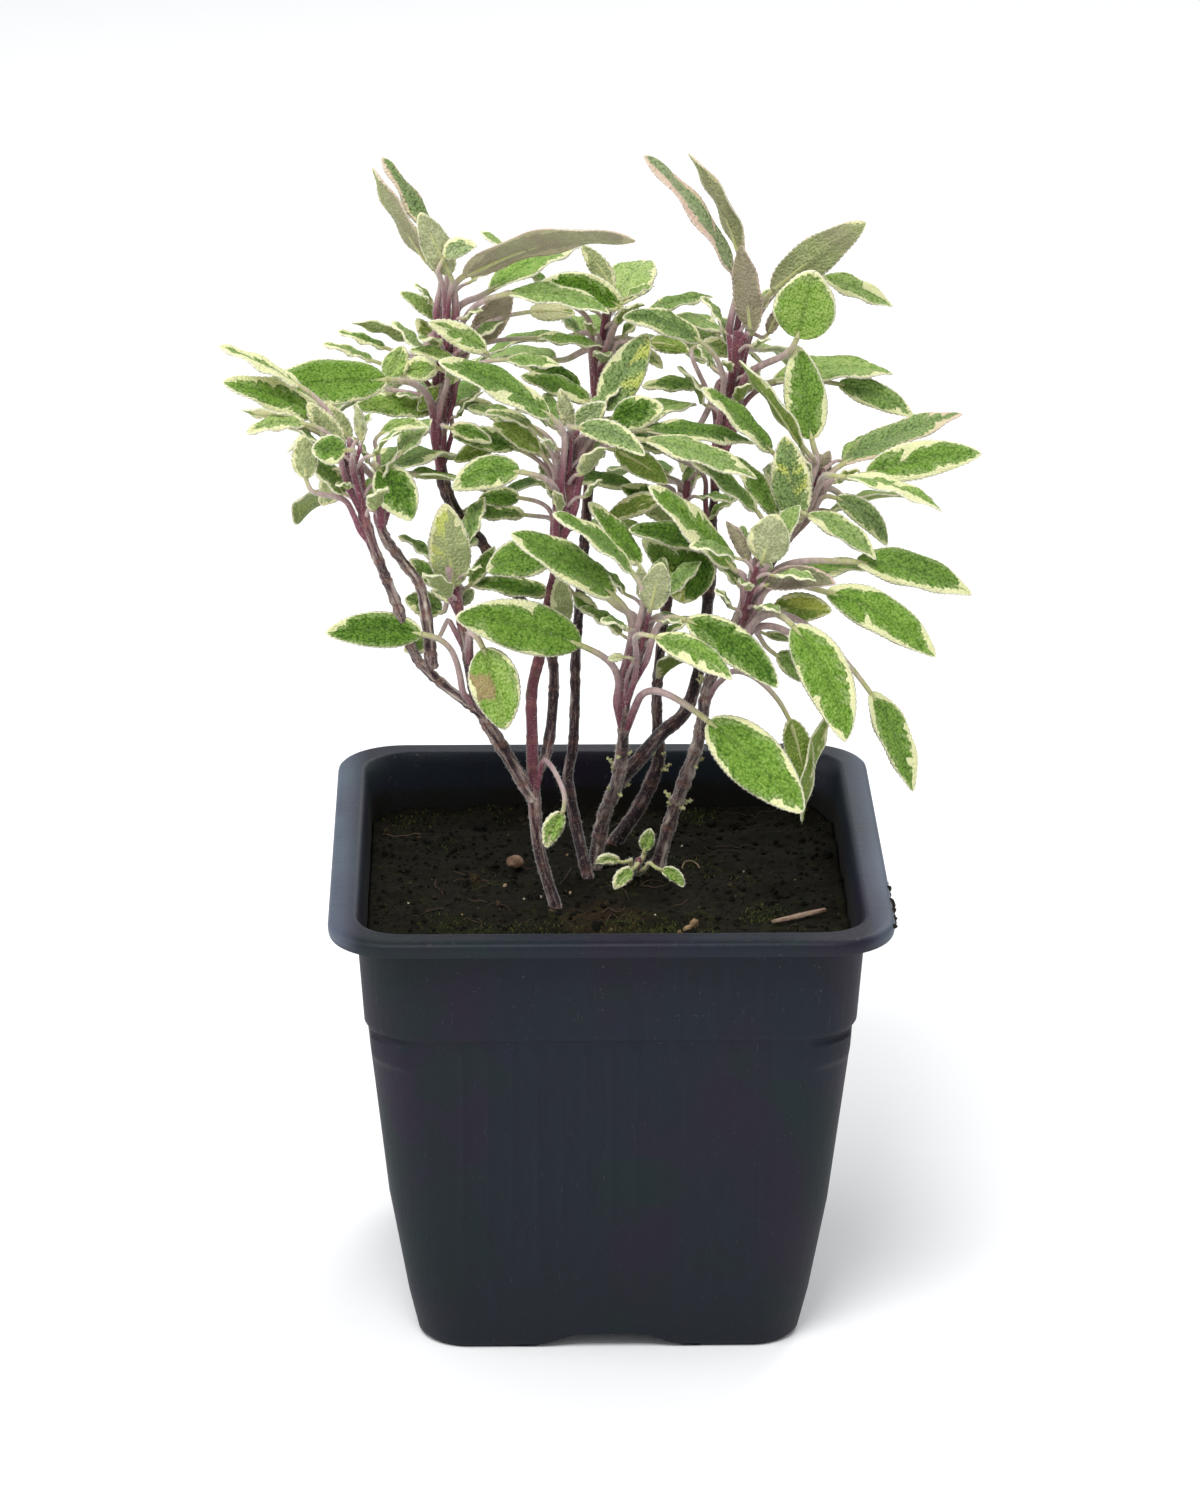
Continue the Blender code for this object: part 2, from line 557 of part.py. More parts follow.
def make_pot():
    """Model the pot: fluted walls, rolled rim with its skirt, channelled base and drain holes."""
    profile = list(WALL_PROFILE)
    profile += [(RIM_TOP - drop, RIM_HALF - inset, corner) for drop, inset, corner in RIM_PROFILE]
    for level, half, corner in reversed(WALL_PROFILE[2:-1]):
        profile.append((level, half - WALL, corner - WALL))
    _, foot_half, foot_corner = WALL_PROFILE[1]
    profile.append((2 * WALL, foot_half - WALL, foot_corner - WALL))
    profile.append((WALL, foot_half - 2 * WALL, FLOOR_CORNER))
    pot = loft("pot", [rounded_square(half, corner, level) for level, half, corner in profile])
    ridges = [channel("ridge", CHANNEL_HALF + WALL, CHANNEL_HIGH + WALL, turn, foot_half - SUNK)
              for turn in (False, True)]
    for ridge in ridges:
        for vert in ridge.data.vertices:
            vert.co.z = max(vert.co.z, SUNK * MM)
    lugs = [make_lug(quarter) for quarter in range(4)]
    flutes = [make_flute(side, number) for side in range(4) for number in range(FLUTES_PER_SIDE)]
    combine(pot, ridges + lugs + flutes, "UNION", "MANIFOLD")
    cuts = [channel("cut", CHANNEL_HALF, CHANNEL_HIGH, turn, RIM_HALF) for turn in (False, True)]
    combine(pot, cuts, "DIFFERENCE", "MANIFOLD")
    drains = [make_drain(0.0, 0.0)]
    drains += [make_drain(side * DRAIN_REACH, 0.0) for side in (-1, 1)]
    drains += [make_drain(0.0, side * DRAIN_REACH) for side in (-1, 1)]
    combine(pot, drains, "DIFFERENCE", "MANIFOLD")
    keep_largest(pot)
    paint(pot, (0.028, 0.034, 0.045), 0.42)


def make_drain(x, y):
    """Return the cutter of one drain hole."""
    rings = []
    for level in DRAIN_SPAN:
        ring = []
        for step in range(DRAIN_SIDES):
            angle = math.tau * step / DRAIN_SIDES
            ring.append(Vector((x + DRAIN_RADIUS * math.cos(angle),
                                y + DRAIN_RADIUS * math.sin(angle), level)))
        rings.append(ring)
    return loft("drain", rings)


def soil_height(x, y):
    """Return the soil's height above the ground at a place."""
    bumps = math.sin(x * 0.31 + 1.2) * math.cos(y * 0.27) + 0.6 * math.sin(x * 0.13 - y * 0.53)
    return SOIL_TOP + SOIL_BUMP * bumps


def make_soil(holes):
    """Model the soil: it fills the pot, is bumpy on top and has a plain hole for each stem."""
    levels = [entry for entry in WALL_PROFILE if 1.0 < entry[0] < SOIL_TOP - 5.0]
    slack = WALL + GAP
    _, foot_half, foot_corner = WALL_PROFILE[1]
    rings = [rounded_square(foot_half - WALL - slack, FLOOR_CORNER - GAP, slack),
             rounded_square(foot_half - slack, foot_corner - slack, slack + WALL)]
    rings += [rounded_square(half - slack, corner - slack, level) for level, half, corner in levels]
    edge = rounded_square(wall_half(SOIL_TOP) - slack, SOIL_EDGE_CORNER, SOIL_TOP)
    for point in edge:
        point.z = soil_height(point.x, point.y)
    rings.append(edge)
    for share in SOIL_RINGS:
        ring = [Vector((p.x * share, p.y * share, 0.0)) for p in edge]
        for point in ring:
            point.z = soil_height(point.x, point.y)
        rings.append(ring)
    soil = loft("soil", rings)
    cuts = [channel("cut", CHANNEL_HALF + slack, CHANNEL_HIGH + slack, turn, RIM_HALF)
            for turn in (False, True)]
    combine(soil, cuts, "DIFFERENCE", "MANIFOLD")
    combine(soil, holes, "DIFFERENCE", "MANIFOLD")
    keep_largest(soil)
    paint(soil, (0.035, 0.027, 0.018), 0.95)


def tube_rings(route, radii, sides):
    """Return the rings of a tube of flat sides along a route of points."""
    rings = []
    across = None
    for index, point in enumerate(route):
        ahead = route[min(index + 1, len(route) - 1)]
        behind = route[max(index - 1, 0)]
        along = (ahead - behind).normalized()
        if across is None:
            across = along.orthogonal()
        across = (across - along * across.dot(along)).normalized()
        other = along.cross(across)
        ring = []
        for side in range(sides):
            angle = math.tau * side / sides
            ring.append(point + (across * math.cos(angle) + other * math.sin(angle)) * radii[index])
        rings.append(ring)
    return rings


def route_points(shoot):
    """Turn a shoot's route into points in space."""
    points = []
    for across, down, depth, _ in shoot.route:
        if depth is None:
            points.append(at_level((across, down), SOIL_TOP))
        else:
            points.append(at_depth((across, down), depth))
    return points


def along_route(points, place):
    """Return the point at a place on a route, and the route's direction there."""
    index = min(int(place), len(points) - 2)
    start, finish = points[index], points[index + 1]
    return start.lerp(finish, place - index), (finish - start).normalized()


def blade_profile(share):
    """Return a leaf's half width at a share of its length, as part of the whole half width."""
    return math.sin(math.pi * share ** 0.9) ** 0.75


def midrib(leaf, share):
    """Return a point on a leaf's midrib."""
    return leaf.base.lerp(leaf.tip, share) + leaf.arch * (4 * share * (1 - share))


def stalk_route(leaf):
    """Return the points of a leaf's stalk, from inside its stem to the base of its blade."""
    distance = (leaf.base - leaf.foot).length
    leave = (midrib(leaf, 0.04) - leaf.base).normalized()
    first_pull = leaf.foot + leaf.rise * (FOOT_PULL * distance)
    second_pull = leaf.base - leave * (BASE_PULL * distance)
    pieces = 3 if distance > LONG_STALK else 2
    points = []
    for step in range(pieces + 1):
        t = step / pieces
        points.append(leaf.foot * (1 - t) ** 3 + first_pull * (3 * t * (1 - t) ** 2)
                      + second_pull * (3 * t * t * (1 - t)) + leaf.base * t ** 3)
    return points


def blade_rows(leaf, extra):
    """Return the blade's stations: rows of two or three places, each with its upward direction."""
    length = (leaf.tip - leaf.base).length
    stations = STATIONS_SMALL if length < SMALL_BLADE else STATIONS_LARGE
    if length < TINY_BLADE:
        stations = STATIONS_TINY
    half = leaf.width / 2 + extra
    rows = []
    for number, share in enumerate(stations):
        along = (midrib(leaf, share + 0.02) - midrib(leaf, share - 0.02)).normalized()
        across = along.cross(leaf.normal).normalized()
        up = across.cross(along)
        reach = half * blade_profile(share)
        wave = WAVE_HIGH * (1 if number % 2 else -1)
        middle = midrib(leaf, share)
        cup = CUP * reach if leaf.width > WIDE_BLADE else 0.0
        left = (middle - across * reach + up * (cup + wave), up)
        right = (middle + across * reach + up * (cup - wave), up)
        rows.append([left, (middle, up), right] if leaf.width > WIDE_BLADE else [left, right])
    return rows


def leaf_mesh(leaf, extra=0.0):
    """Return the points and faces of one leaf: a three-sided stalk that widens into a waved blade."""
    rows = blade_rows(leaf, extra)
    columns = len(rows[0])
    route = stalk_route(leaf)
    radius = STALK_RADIUS + extra
    verts = []
    across = (rows[0][-1][0] - rows[0][0][0]).normalized()
    rings = []
    for index in reversed(range(len(route))):
        ahead = route[index + 1] if index + 1 < len(route) else midrib(leaf, 0.06)
        along = (ahead - route[max(index - 1, 0)]).normalized()
        across = (across - along * across.dot(along)).normalized()
        up = across.cross(along)
        rings.append([route[index] + across * (radius * x) + up * (radius * y) for x, y in STALK_RING])
    rings.reverse()
    for ring in rings:
        verts += ring
    faces = [(0, 1, 2)]
    for row in range(len(rings) - 1):
        for side in range(3):
            here, after = 3 * row + side, 3 * row + (side + 1) % 3
            faces += [(here, after + 3, after), (here, here + 3, after + 3)]
    left, right, keel = (len(verts) - 3 + corner for corner in range(3))
    thick = BLADE_THICK / 2 + extra
    first = len(verts)
    for row in rows:
        verts += [place + up * thick for place, up in row]
        verts += [place - up * thick for place, up in row]
    step = 2 * columns
    faces += [(left, first, first + 1), (left, first + 1, right)]
    faces += [(keel, first + columns + 1, first + columns)]
    if columns == 3:
        faces += [(right, first + 1, first + 2), (keel, first + columns + 2, first + columns + 1)]
    last_left, last_right = first + columns - 1, first + step - 1
    faces += [(left, first + columns, first), (left, keel, first + columns)]
    faces += [(right, last_left, last_right), (right, last_right, keel)]
    for row in range(len(rows) - 1):
        here = first + step * row
        for column in range(columns - 1):
            a, b = here + column, here + column + 1
            faces += [(a, a + step, b), (b, a + step, b + step)]
            low_a, low_b = a + columns, b + columns
            faces += [(low_a, low_b, low_a + step), (low_b, low_b + step, low_a + step)]
        for edge, turned in ((here, False), (here + columns - 1, True)):
            rim = [(edge, edge + columns, edge + step),
                   (edge + columns, edge + columns + step, edge + step)]
            faces += [tuple(reversed(face)) for face in rim] if turned else rim
    here = first + step * (len(rows) - 1)
    top, bottom = len(verts), len(verts) + 1
    tip_up = rows[-1][0][1]
    verts += [leaf.tip + tip_up * thick, leaf.tip - tip_up * thick]
    for column in range(columns - 1):
        faces.append((here + column, top, here + column + 1))
        faces.append((here + columns + column, here + columns + column + 1, bottom))
    faces += [(here, here + columns, top), (here + columns, bottom, top)]
    near, low_near = here + columns - 1, here + step - 1
    faces += [(near, top, low_near), (low_near, top, bottom)]
    return verts, faces


def place_leaf(leaf, points):
    """Put a leaf that was read from the photograph in space."""
    base = at_depth(leaf.base, leaf.base_depth)
    tip = at_depth(leaf.tip, leaf.tip_depth)
    middle = ((leaf.base[0] + leaf.tip[0]) / 2, (leaf.base[1] + leaf.tip[1]) / 2)
    ray = sight(*middle).normalized()
    per_pixel = (base - EYE).length / VIEW_FOCUS
    aim = Vector((leaf.tip[0] - leaf.base[0], leaf.tip[1] - leaf.base[1])).normalized()
    off = Vector((-aim.y, aim.x))
    if -off.y + 0.2 * off.x < 0:
        off = -off
    arch = (RIGHT * off.x - UP * off.y) * (leaf.bow * per_pixel)
    along = (tip - base).normalized()
    toward = (-ray + along * ray.dot(along)).normalized()
    aside = along.cross(toward)
    if aside.z + 0.2 * aside.x < 0:
        aside = -aside
    seen = leaf.seen * per_pixel
    width = max(seen, WIDTH_RATIO * (tip - base).length)
    lean = math.acos(min(seen / width, 1.0))
    normal = (toward * (leaf.face * math.cos(lean)) + aside * math.sin(lean)).normalized()
    foot, rise = along_route(points, leaf.root)
    return Placed(base, tip, arch, width, normal, ray, foot - rise * STALK_SUNK, rise)


def spare_leaves(shoot, points, rng):
    """Place the leaves of a shoot that the eye doesn't reach, round its far side."""
    crown = len(points) - 2
    for number in range(shoot.spare):
        turn = math.pi * (number + 0.5 + rng.uniform(-0.2, 0.2)) / shoot.spare
        away = Vector((math.cos(turn), math.sin(turn), 0.0))
        foot, rise = along_route(points, crown + 0.1 + 0.7 * rng.random())
        lift = rng.uniform(*SPARE_LIFT)
        base = foot + away * rng.uniform(*SPARE_STALK) + Vector((0, 0, 3.0 + 5.0 * lift))
        length = rng.uniform(*SPARE_LENGTH)
        tip = base + (away + Vector((0, 0, lift))).normalized() * length
        base.y = min(base.y, BACK_LIMIT - 9.0)
        if tip.y > BACK_LIMIT:
            tip.z += 0.8 * (tip.y - BACK_LIMIT)
            tip.y = BACK_LIMIT
        along = (tip - base).normalized()
        normal = (Vector((0, 0, 1)) - along * along.z).normalized()
        yield Placed(base, tip, normal * rng.uniform(*SPARE_ARCH), length * SPARE_WIDTH, normal,
                     Vector((0, 0, 1)), foot - rise * STALK_SUNK, rise)


def bent(leaf, tip_bend, base_share, twist):
    """Return a leaf moved a little along its free direction and twisted about its midrib."""
    tip = leaf.tip + leaf.slide * tip_bend
    base = leaf.base + leaf.slide * (tip_bend * base_share)
    turn = Matrix.Rotation(math.radians(twist), 3, (leaf.tip - leaf.base).normalized())
    return leaf._replace(tip=tip, base=base, normal=turn @ leaf.normal)


def trials():
    """Return the ways to bend a leaf clear, each with its effort, mildest first."""
    ways = [(abs(bend) + TWIST_EFFORT * abs(twist), bend, share, twist)
            for bend in BENDS for share in BASE_SHARES for twist in TWISTS
            if bend or share == BASE_SHARES[0]]
    return sorted(ways, key=lambda way: way[0])


class Crowd:
    """The surfaces placed so far, by stem, to keep new leaves clear of them."""

    def __init__(self):
        self.leaves = []
        self.wood = []

    def add(self, pieces, stem, verts, faces):
        """Remember one closed surface."""
        low = Vector([min(v[axis] for v in verts) for axis in range(3)])
        high = Vector([max(v[axis] for v in verts) for axis in range(3)])
        pieces.append((stem, low, high, BVHTree.FromPolygons(verts, faces)))

    def hits(self, pieces, verts, faces, skip):
        """Count the remembered surfaces that a new one crosses, leaving out one stem's."""
        low = Vector([min(v[axis] for v in verts) for axis in range(3)])
        high = Vector([max(v[axis] for v in verts) for axis in range(3)])
        tree = None
        found = 0
        for stem, other_low, other_high, other in pieces:
            if stem == skip:
                continue
            if any(low[a] > other_high[a] or high[a] < other_low[a] for a in range(3)):
                continue
            tree = tree or BVHTree.FromPolygons(verts, faces)
            if tree.overlap(other):
                found += 1
        return found


def bend_clear(leaf, stem, crowd):
    """Bend a leaf clear of the other stems, and of its own stem's leaves where that is easy."""
    choice, least = None, math.inf
    for effort, *way in trials():
        if effort >= least:
            break
        trial = bent(leaf, *way)
        surface = leaf_mesh(trial, CLEAR)
        if crowd.hits(crowd.wood, *surface, stem) or crowd.hits(crowd.leaves, *surface, stem):
            continue
        cost = effort + CROSSING_EFFORT * crowd.hits(crowd.leaves, *surface, None)
        if cost < least:
            choice, least = trial, cost
    return choice


def make_stem(name, points_by_shoot, leaves):
    """Fuse a stem's wood, stalks and blades into one body."""
    pieces = []
    for key, (shoot, points) in points_by_shoot.items():
        route = list(points)
        radii = [entry[3] for entry in shoot.route]
        if shoot.route[0][2] is None:
            down = (points[0] - points[1]).normalized()
            route = [points[0] + down * ROOT_DEPTH] + route
            radii = [radii[0]] + radii
        pieces.append(loft(key, tube_rings(route, radii, STEM_SIDES)))
    pieces += [make_object("leaf", *leaf_mesh(leaf)) for leaf in leaves]
    body = pieces[0]
    body.name = name
    body.data.name = name
    combine(body, pieces[1:], "UNION", "MANIFOLD")
    keep_largest(body)
    return body


def stem_hole(points, radius):
    """Return the cutter of the plain hole in which a stem stands."""
    down = (points[0] - points[1]).normalized()
    ends = [points[0] + down * (ROOT_DEPTH + GAP), points[0] - down * HOLE_ABOVE]
    return loft("hole", tube_rings(ends, [radius + GAP * 1.2] * 2, STEM_SIDES))


def make_plant():
    """Place every stem, then every leaf, and fuse each stem with its own leaves."""
    crowd = Crowd()
    routes = {stem: {key: (shoot, route_points(shoot)) for key, shoot in shoots.items()}
              for stem, shoots in PLANT.items()}
    for stem, shoots in routes.items():
        for shoot, points in shoots.values():
            rings = tube_rings(points, [entry[3] for entry in shoot.route], STEM_SIDES)
            crowd.add(crowd.wood, stem, *loft_mesh(rings))
    leaves = {stem: [] for stem in PLANT}
    for stem, shoots in routes.items():
        for shoot, points in shoots.values():
            for leaf in shoot.leaves:
                settle(place_leaf(leaf, points), stem, crowd, leaves)
    rng = random.Random(SPARE_SEED)
    for stem, shoots in routes.items():
        for shoot, points in shoots.values():
            for leaf in spare_leaves(shoot, points, rng):
                settle(leaf, stem, crowd, leaves)
    holes = []
    for stem, shoots in routes.items():
        body = make_stem(stem, shoots, leaves[stem])
        paint(body, (0.16, 0.27, 0.09), 0.7)
        first, points = next(iter(shoots.values()))
        holes.append(stem_hole(points, first.route[0][3]))
    return holes


def settle(leaf, stem, crowd, leaves):
    """Bend one leaf clear, remember it and add it to its stem; one with no room isn't grown."""
    chosen = bend_clear(leaf, stem, crowd)
    if chosen:
        crowd.add(crowd.leaves, stem, *leaf_mesh(chosen))
        leaves[stem].append(chosen)


def make_pebble():
    """Model the round pebble that lies on the soil."""
    middle = at_level(PEBBLE_AT, SOIL_TOP + 1.2)
    body = bmesh.new()
    bmesh.ops.create_icosphere(body, subdivisions=2, radius=0.5)
    floor = max(soil_height(middle.x + dx, middle.y + dy) for dx in (-1, 0, 1) for dy in (-1, 0, 1))
    foot = floor + GAP
    for vert in body.verts:
        x, y, z = (vert.co[axis] * PEBBLE_SIZE[axis] for axis in range(3))
        level = max(z + PEBBLE_SIZE[2] * PEBBLE_STANDS, 0.0)
        vert.co = Vector((middle.x + x, middle.y + y, foot + level)) * MM
    mesh = bpy.data.meshes.new("pebble")
    body.to_mesh(mesh)
    body.free()
    pebble = bpy.data.objects.new("pebble", mesh)
    bpy.context.scene.collection.objects.link(pebble)
    paint(pebble, (0.23, 0.17, 0.11), 0.85)


def make_chip():
    """Model the pointed chip of bark that lies on the soil."""
    start, finish = (at_level(pixel, SOIL_TOP + 1.0) for pixel in CHIP_ENDS)
    along = finish - start
    side = along.cross(Vector((0, 0, 1))).normalized() * (CHIP_WIDE / 2)
    spots = [start.lerp(finish, share) for share in (0, 0.25, 0.5, 0.75, 1)]
    foot = max(soil_height(p.x, p.y) for p in spots) + GAP
    rings = []
    for share, wide in ((0.0, 0.25), (0.3, 0.9), (0.65, 1.0), (1.0, 0.35)):
        middle = start.lerp(finish, share)
        middle.z = foot
        up = Vector((0, 0, CHIP_THICK))
        rings.append([middle - side * wide, middle + side * wide, middle + side * wide * 0.7 + up,
                      middle - side * wide * 0.7 + up])
    chip = loft("bark_chip", rings)
    paint(chip, (0.30, 0.19, 0.10), 0.8)


def main():
    """Build the potted sage."""
    for thing in list(bpy.data.objects):
        bpy.data.objects.remove(thing, do_unlink=True)
    make_pot()
    make_soil(make_plant())
    make_pebble()
    make_chip()


main()
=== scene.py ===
# %% [markdown]
# # A young tricolor sage in a square nursery pot
#
# The plant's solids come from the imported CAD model. They fix where each stem, stalk and blade is.
# This lesson dresses them: blades with a pebbled skin and cream margins, ringed wood, soil with
# crumbs and moss, and a ribbed plastic pot. Sizes are in millimetres until a mesh is made.

# %% Load the solids
import math
import random
from typing import NamedTuple

import bpy
import numpy as np
from mathutils import Matrix, Vector, noise
from mathutils.kdtree import KDTree


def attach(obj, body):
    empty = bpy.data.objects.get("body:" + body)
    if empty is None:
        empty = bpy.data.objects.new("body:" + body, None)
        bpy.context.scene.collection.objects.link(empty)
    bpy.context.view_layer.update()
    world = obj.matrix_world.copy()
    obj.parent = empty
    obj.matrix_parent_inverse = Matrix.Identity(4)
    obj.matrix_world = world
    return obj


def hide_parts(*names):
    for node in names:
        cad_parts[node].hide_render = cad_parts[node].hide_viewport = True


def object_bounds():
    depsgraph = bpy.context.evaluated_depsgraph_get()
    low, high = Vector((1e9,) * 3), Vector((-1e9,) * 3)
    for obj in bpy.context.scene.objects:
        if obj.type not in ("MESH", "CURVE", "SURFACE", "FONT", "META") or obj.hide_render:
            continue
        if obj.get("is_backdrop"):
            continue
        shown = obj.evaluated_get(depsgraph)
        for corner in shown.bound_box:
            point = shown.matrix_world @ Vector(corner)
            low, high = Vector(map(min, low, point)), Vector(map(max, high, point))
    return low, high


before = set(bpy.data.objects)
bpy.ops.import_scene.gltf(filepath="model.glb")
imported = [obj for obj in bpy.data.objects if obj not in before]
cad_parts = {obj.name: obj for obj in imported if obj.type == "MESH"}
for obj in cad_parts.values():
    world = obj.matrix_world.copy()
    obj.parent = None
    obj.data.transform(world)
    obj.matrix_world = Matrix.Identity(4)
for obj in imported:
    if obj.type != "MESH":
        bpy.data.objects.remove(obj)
cad_low, cad_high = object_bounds()
MM = 0.001
UPRIGHT = Vector((0, 0, 1))
print("solids:", sorted(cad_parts))

# %% [markdown]
# ## The camera
#
# The photograph looks down at the pot a little, through a long lens. The camera is made first,
# because places on the plant are given as the photograph's pixels with a depth. A sight line
# through the pixel then meets that depth in one point, seen from any side.

# %% Camera
VIEW_TURN = math.radians(-1.25)
VIEW_RISE = math.radians(20.6)
VIEW_ROLL = math.radians(0.2)
VIEW_DISTANCE = 983.0
VIEW_TARGET = Vector((-1.35, 0.0, 103.2))
VIEW_LENS = 130.0
VIEW_SENSOR = 36.0
VIEW_MIDDLE = (600.0, 750.0)
VIEW_FOCUS = VIEW_LENS / VIEW_SENSOR * 2 * VIEW_MIDDLE[1]


def eye():
    """Return the eye's place and its right, up and backward directions."""
    back = Vector((math.sin(VIEW_TURN) * math.cos(VIEW_RISE),
                   -math.cos(VIEW_TURN) * math.cos(VIEW_RISE), math.sin(VIEW_RISE)))
    level = Vector((math.cos(VIEW_TURN), math.sin(VIEW_TURN), 0.0))
    up = back.cross(level)
    right = level * math.cos(VIEW_ROLL) + up * math.sin(VIEW_ROLL)
    up = up * math.cos(VIEW_ROLL) - level * math.sin(VIEW_ROLL)
    return VIEW_TARGET + back * VIEW_DISTANCE, right, up, back


EYE, RIGHT, UP, BACK = eye()


def sight(across, down):
    """Return the direction in which a pixel is seen."""
    ray = RIGHT * ((across - VIEW_MIDDLE[0]) / VIEW_FOCUS)
    return ray - UP * ((down - VIEW_MIDDLE[1]) / VIEW_FOCUS) - BACK


def at_depth(pixel, depth):
    """Return the point seen at a pixel whose Y is the depth."""
    ray = sight(*pixel)
    return EYE + ray * ((depth - EYE.y) / ray.y)


def at_level(pixel, level):
    """Return the point seen at a pixel whose Z is the level."""
    ray = sight(*pixel)
    return EYE + ray * ((level - EYE.z) / ray.z)


scene = bpy.context.scene
camera_data = bpy.data.cameras.new("camera")
camera_data.lens = VIEW_LENS
camera_data.sensor_width = VIEW_SENSOR
camera = bpy.data.objects.new("camera", camera_data)
camera.matrix_world = Matrix.Translation(EYE * MM) @ Matrix((RIGHT, UP, BACK)).transposed().to_4x4()
scene.collection.objects.link(camera)
scene.camera = camera
print("camera", [round(place, 3) for place in camera.location])

# %% [markdown]
# ## Light, floor and air
#
# The pot stands in soft studio light with no hard shadow. A large pale floor, a wide soft lamp in
# front above, a weak one on the left, one behind and a bright world give that.

# %% Light and floor
AIR_COLOUR = (0.95, 0.97, 1.0, 1.0)
AIR_STRENGTH = 0.66
FLOOR_HALF = 4.0          # in metres
# Name, place, aim, size and watts, in metres
LAMPS = (("front_lamp", (-0.25, -0.75, 1.35), (0.0, 0.0, 0.12), 0.6, 15.0),
         ("left_lamp", (-0.95, -0.1, 0.55), (0.0, 0.0, 0.12), 0.5, 3.0),
         ("back_lamp", (0.35, 0.8, 0.9), (0.0, 0.0, 0.15), 0.6, 5.0))
scene.view_settings.view_transform = "Standard"
scene.world = bpy.data.worlds.new("air")
scene.world.use_nodes = True
air = scene.world.node_tree.nodes["Background"]
air.inputs["Color"].default_value = AIR_COLOUR
air.inputs["Strength"].default_value = AIR_STRENGTH

for name, place, aim, size, watts in LAMPS:
    data = bpy.data.lights.new(name, "AREA")
    data.size = size
    data.energy = watts
    lamp = bpy.data.objects.new(name, data)
    lamp.location = place
    lamp.rotation_euler = (Vector(aim) - Vector(place)).to_track_quat("-Z", "Y").to_euler()
    scene.collection.objects.link(lamp)

floor_mesh = bpy.data.meshes.new("floor")
floor_corners = [(x * FLOOR_HALF, y * FLOOR_HALF, 0)
                 for x, y in ((-1, -1), (1, -1), (1, 1), (-1, 1))]
floor_mesh.from_pydata(floor_corners, [], [(0, 1, 2, 3)])
floor = bpy.data.objects.new("floor", floor_mesh)
scene.collection.objects.link(floor)
floor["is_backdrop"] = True

# %% [markdown]
# ## Arithmetic on sockets
#
# A finish is a small sum of noises and masks. Written with nodes one by one it is hard to read, so
# a socket is wrapped in a class: plain arithmetic on it adds Math nodes. Colours are written as a
# screen shows them, from 0 to 255.

# %% Sockets
def colour(red, green, blue):
    """Turn a colour as a screen shows it, 0 to 255, into the light it gives back."""
    parts = (part / 255 for part in (red, green, blue))
    return (*(p / 12.92 if p <= 0.04045 else ((p + 0.055) / 1.055) ** 2.4 for p in parts), 1.0)


class Value:
    """One output socket of a node tree; arithmetic on it adds Math nodes."""

    def __init__(self, graph, socket):
        self.graph = graph
        self.socket = socket

    def maths(self, operation, *terms):
        """Add one Math node."""
        return self.graph.add("ShaderNodeMath", dict(enumerate(terms)), operation=operation)

    def __add__(self, other):
        return self.maths("ADD", self, other)

    def __sub__(self, other):
        return self.maths("SUBTRACT", self, other)

    def __mul__(self, other):
        return self.maths("MULTIPLY", self, other)

    def __pow__(self, other):
        return self.maths("POWER", self, other)

    def __rsub__(self, other):
        return self.maths("SUBTRACT", other, self)

    __radd__ = __add__
    __rmul__ = __mul__

    def size(self):
        """Return the value without its sign."""
        return self.maths("ABSOLUTE", self)

    def larger(self, other):
        """Return the larger of this value and another."""
        return self.maths("MAXIMUM", self, other)

    def step(self, low, high):
        """Return 0 below low and 1 above high, with a soft step between."""
        return self.graph.add("ShaderNodeMapRange", {0: self, 1: low, 2: high},
                              interpolation_type="SMOOTHSTEP")

    def output(self, name):
        """Return another output of the same node."""
        return Value(self.graph, self.socket.node.outputs[name])

# %% Trees
class Graph:
    """A node tree with one way to add any node."""

    def __init__(self, tree):
        self.tree = tree

    def add(self, kind, sockets=None, output=0, **settings):
        """Add a node of a kind with its settings, then the values or links of its sockets."""
        made = self.tree.nodes.new(kind)
        for name, setting in settings.items():
            setattr(made, name, setting)
        for key, value in (sockets or {}).items():
            if isinstance(value, Value):
                self.tree.links.new(value.socket, made.inputs[key])
            else:
                made.inputs[key].default_value = value
        return Value(self, made.outputs[output])

    def ramp(self, value, *stops):
        """Turn a value into a colour by stops, each a place and a screen colour."""
        made = self.add("ShaderNodeValToRGB", {0: value})
        elements = made.socket.node.color_ramp.elements
        while len(elements) < len(stops):
            elements.new(1.0)
        for element, (place, shade) in zip(elements, stops):
            element.position = place
            element.color = colour(*shade)
        return made

    def mix(self, share, first, second):
        """Mix two colours; each is a value or a screen colour."""
        first, second = (shade if isinstance(shade, Value) else colour(*shade)
                         for shade in (first, second))
        return self.add("ShaderNodeMix", {0: share, 6: first, 7: second}, 2, data_type="RGBA")

    def noise(self, place, scale, detail=2.0, roughness=0.5):
        """Return a noise between 0 and 1 over a place."""
        return self.add("ShaderNodeTexNoise", {"Vector": place, "Scale": scale, "Detail": detail,
                                               "Roughness": roughness})

    def attribute(self, name, output="Fac"):
        """Read a value that is stored on the mesh."""
        return self.add("ShaderNodeAttribute", None, output, attribute_name=name)

    def vector(self, operation, first, second):
        """Add one Vector Math node; a single number scales the vector."""
        key = "Scale" if operation == "SCALE" else 1
        return self.add("ShaderNodeVectorMath", {0: first, key: second}, operation=operation)

    def stretch(self, place, scale):
        """Scale a place by a factor along each axis."""
        return self.vector("MULTIPLY", place, scale)

